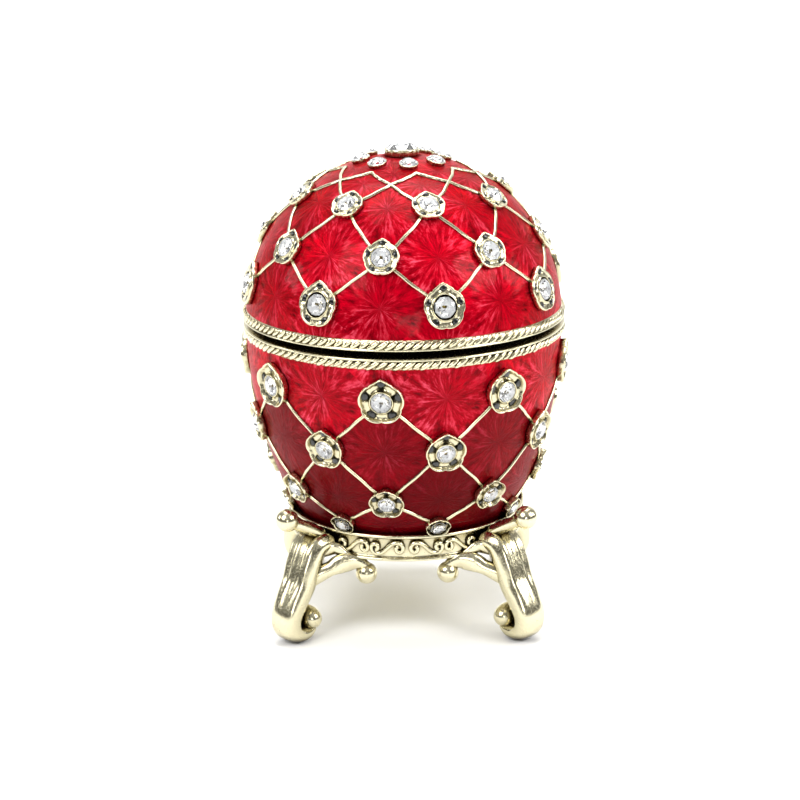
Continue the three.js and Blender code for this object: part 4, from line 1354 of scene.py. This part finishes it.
class EGGBOX_OT_collar(EggBoxPiece, bpy.types.Operator):
    """Cast the collar with its rims and scrolls"""

    bl_idname = "eggbox.collar"
    bl_label = "Collar"

    def execute(self, context):
        stand = settings("stand")
        low, high = stand.collar_bottom / MM, stand.collar_top / MM
        profile = [
            (11.5, low), (16.2, low), (16.42, low + 0.08), (16.48, low + 0.25), (16.42, low + 0.42),
            (16.12, low + 0.5), (16.05, low + 0.7), (16.35, high - 0.7), (16.45, high - 0.55),
            (16.78, high - 0.45), (16.85, high - 0.27), (16.78, high - 0.08), (16.6, high),
            (16.2, high), (16.1, high - 0.15), (14.45, 12.7), (11.5, 12.7),
        ]
        collar = turned("collar", profile, COLLAR_SIDES)
        hang(collar, "base", "gold_plate", "stand")
        # Two scrolls on each side of the middle between two legs
        curves = [
            scroll_curve(angle + radians(side * middle), side)
            for angle in circle(stand.legs) for side in (-1, 1) for middle in (9.5, 26.5)
        ]
        scrolls = grow(
            wire_item(curves), wire_tree(), "collar_scrolls", thickness=stand.scroll, sides=8,
            finish=gilt_plate(),
        )
        hang(scrolls, "base")
        return {"FINISHED"}


# The stage


class EGGBOX_OT_stage(EggBoxPiece, bpy.types.Operator):
    """Set up the floor, the lights and the camera"""

    bl_idname = "eggbox.stage"
    bl_label = "Stage"

    def execute(self, context):
        make_floor()
        make_lights()
        make_camera()
        context.scene.view_settings.view_transform = "Standard"
        return {"FINISHED"}


# Half the floor's width, where it starts to curve up, the curve's radius and the upper end
FLOOR_HALF, FLOOR_REAR, FLOOR_BEND, FLOOR_TOP = 0.9, 0.35, 0.25, 0.9
# The floor lies this far below the feet
FLOOR_GAP = 0.02 * MM
BEND_STEPS = 12


def make_floor():
    """A pale sheet that curves up behind the box."""
    profile = [(-FLOOR_HALF, 0.0)]
    for n in range(BEND_STEPS + 1):
        angle = pi / 2 * n / BEND_STEPS
        rear = FLOOR_REAR + FLOOR_BEND * sin(angle)
        profile.append((rear, FLOOR_BEND - FLOOR_BEND * cos(angle)))
    profile.append((FLOOR_REAR + FLOOR_BEND, FLOOR_TOP))
    points = [(x, y, z - FLOOR_GAP) for y, z in profile for x in (-FLOOR_HALF, FLOOR_HALF)]
    faces = [(2 * n, 2 * n + 1, 2 * n + 3, 2 * n + 2) for n in range(len(profile) - 1)]
    build("floor", points, faces, pale_paper())


def make_lights():
    """Soft lamps over and round the box, under a dim sky."""
    world = bpy.data.worlds.new("Studio")
    bpy.context.scene.world = world
    world.use_nodes = True
    world.node_tree.nodes.clear()
    add = functools.partial(add_node, world.node_tree)
    # Bright overhead and dim towards the horizon, as under a studio's ceiling light
    way = add("ShaderNodeTexCoord").outputs["Generated"]
    height = add("ShaderNodeSeparateXYZ", {"Vector": way}).outputs["Z"]
    glow = add(
        "ShaderNodeMapRange", {"Value": height, "From Max": 0.9, "To Min": 0.08, "To Max": 0.5},
        interpolation_type="SMOOTHSTEP",
    )
    background = add("ShaderNodeBackground", {"Strength": glow})
    add("ShaderNodeOutputWorld", {"Surface": background})
    # place, aim, size, power in watts
    lamps = (
        ((-0.26, -0.26, 0.34), (0, 0, 0.035), 0.24, 1.3),
        ((0.30, -0.16, 0.26), (0, 0, 0.035), 0.16, 0.9),
        ((0.0, 0.10, 0.46), (0, 0, 0.035), 0.3, 1.6),
        ((0.02, -0.42, 0.10), (0, 0, 0.035), 0.08, 0.15),
        ((0.0, 0.25, 0.55), (0, 0.6, 0.3), 0.5, 3.0),
        ((-0.45, 0.03, 0.2), (0, 0, 0.02), 0.12, 0.35),
        ((0.45, 0.03, 0.2), (0, 0, 0.02), 0.12, 0.35),
    )
    for n, (spot, target, size, power) in enumerate(lamps):
        data = bpy.data.lights.new(f"softbox_{n + 1}", "AREA")
        data.shape = "SQUARE"
        data.size = size
        data.energy = power
        lamp = bpy.data.objects.new(data.name, data)
        bpy.context.scene.collection.objects.link(lamp)
        lamp.location = spot
        aim = Vector(target) - Vector(spot)
        lamp.rotation_euler = aim.to_track_quat("-Z", "Y").to_euler()


# The image's side in pixels, and where the middle of the seam lies in it
IMAGE_SIDE = 800
SEAM_PIXEL = (403.9, 316.6)


def make_camera():
    """The camera at the picture's angle, with the seam's middle at its place in the image."""
    view = settings("stage")
    data = bpy.data.cameras.new("camera")
    data.lens = view.lens
    data.sensor_width = 36.0
    data.clip_start, data.clip_end = 0.01, 10.0
    camera = bpy.data.objects.new("camera", data)
    bpy.context.scene.collection.objects.link(camera)
    seam = Vector((0, 0, settings("egg").seam))
    back = Vector((0, -cos(view.elevation), sin(view.elevation)))
    camera.location = seam + back * view.distance
    focal = view.lens / data.sensor_width * IMAGE_SIDE
    across = atan((SEAM_PIXEL[0] - IMAGE_SIDE / 2) / focal)
    down = atan((SEAM_PIXEL[1] - IMAGE_SIDE / 2) / focal)
    aim = (-back).to_track_quat("-Z", "Y").to_matrix().to_4x4()
    offset = Matrix.Rotation(across, 4, "Y") @ Matrix.Rotation(down, 4, "X")
    camera.matrix_world = (
        Matrix.Translation(camera.location) @ aim @ Matrix.Rotation(-view.roll, 4, "Z") @ offset
    )
    bpy.context.scene.camera = camera


GROUPS = {
    "egg": EggSettings, "hinge": HingeSettings, "stand": StandSettings,
    "finish": FinishSettings, "stage": StageSettings,
}
OPERATORS = (
    EGGBOX_OT_enamel, EGGBOX_OT_bodies, EGGBOX_OT_ropes, EGGBOX_OT_wires, EGGBOX_OT_flowers,
    EGGBOX_OT_crown, EGGBOX_OT_hinge, EGGBOX_OT_collar, EGGBOX_OT_legs, EGGBOX_OT_stage,
)


class EGGBOX_PT_panel(bpy.types.Panel):
    """The box's pieces and sizes"""

    bl_label = "Egg box"
    bl_idname = "EGGBOX_PT_panel"
    bl_space_type = "VIEW_3D"
    bl_region_type = "UI"
    bl_category = "Egg box"

    def draw(self, context):
        for operator in OPERATORS:
            self.layout.operator(operator.bl_idname)
        for name, group in GROUPS.items():
            box = self.layout.box()
            for field in group.__annotations__:
                box.prop(getattr(context.scene, "egg_box_" + name), field)


def register():
    for group in GROUPS.values():
        bpy.utils.register_class(group)
    for name, group in GROUPS.items():
        setattr(bpy.types.Scene, "egg_box_" + name, bpy.props.PointerProperty(type=group))
    for operator in OPERATORS:
        bpy.utils.register_class(operator)
    bpy.utils.register_class(EGGBOX_PT_panel)


def unregister():
    bpy.utils.unregister_class(EGGBOX_PT_panel)
    for operator in reversed(OPERATORS):
        bpy.utils.unregister_class(operator)
    for name, group in GROUPS.items():
        delattr(bpy.types.Scene, "egg_box_" + name)
        bpy.utils.unregister_class(group)


def main():
    register()
    for operator in OPERATORS:
        prefix, name = operator.bl_idname.split(".")
        getattr(getattr(bpy.ops, prefix), name)()


if __name__ == "__main__":
    main()
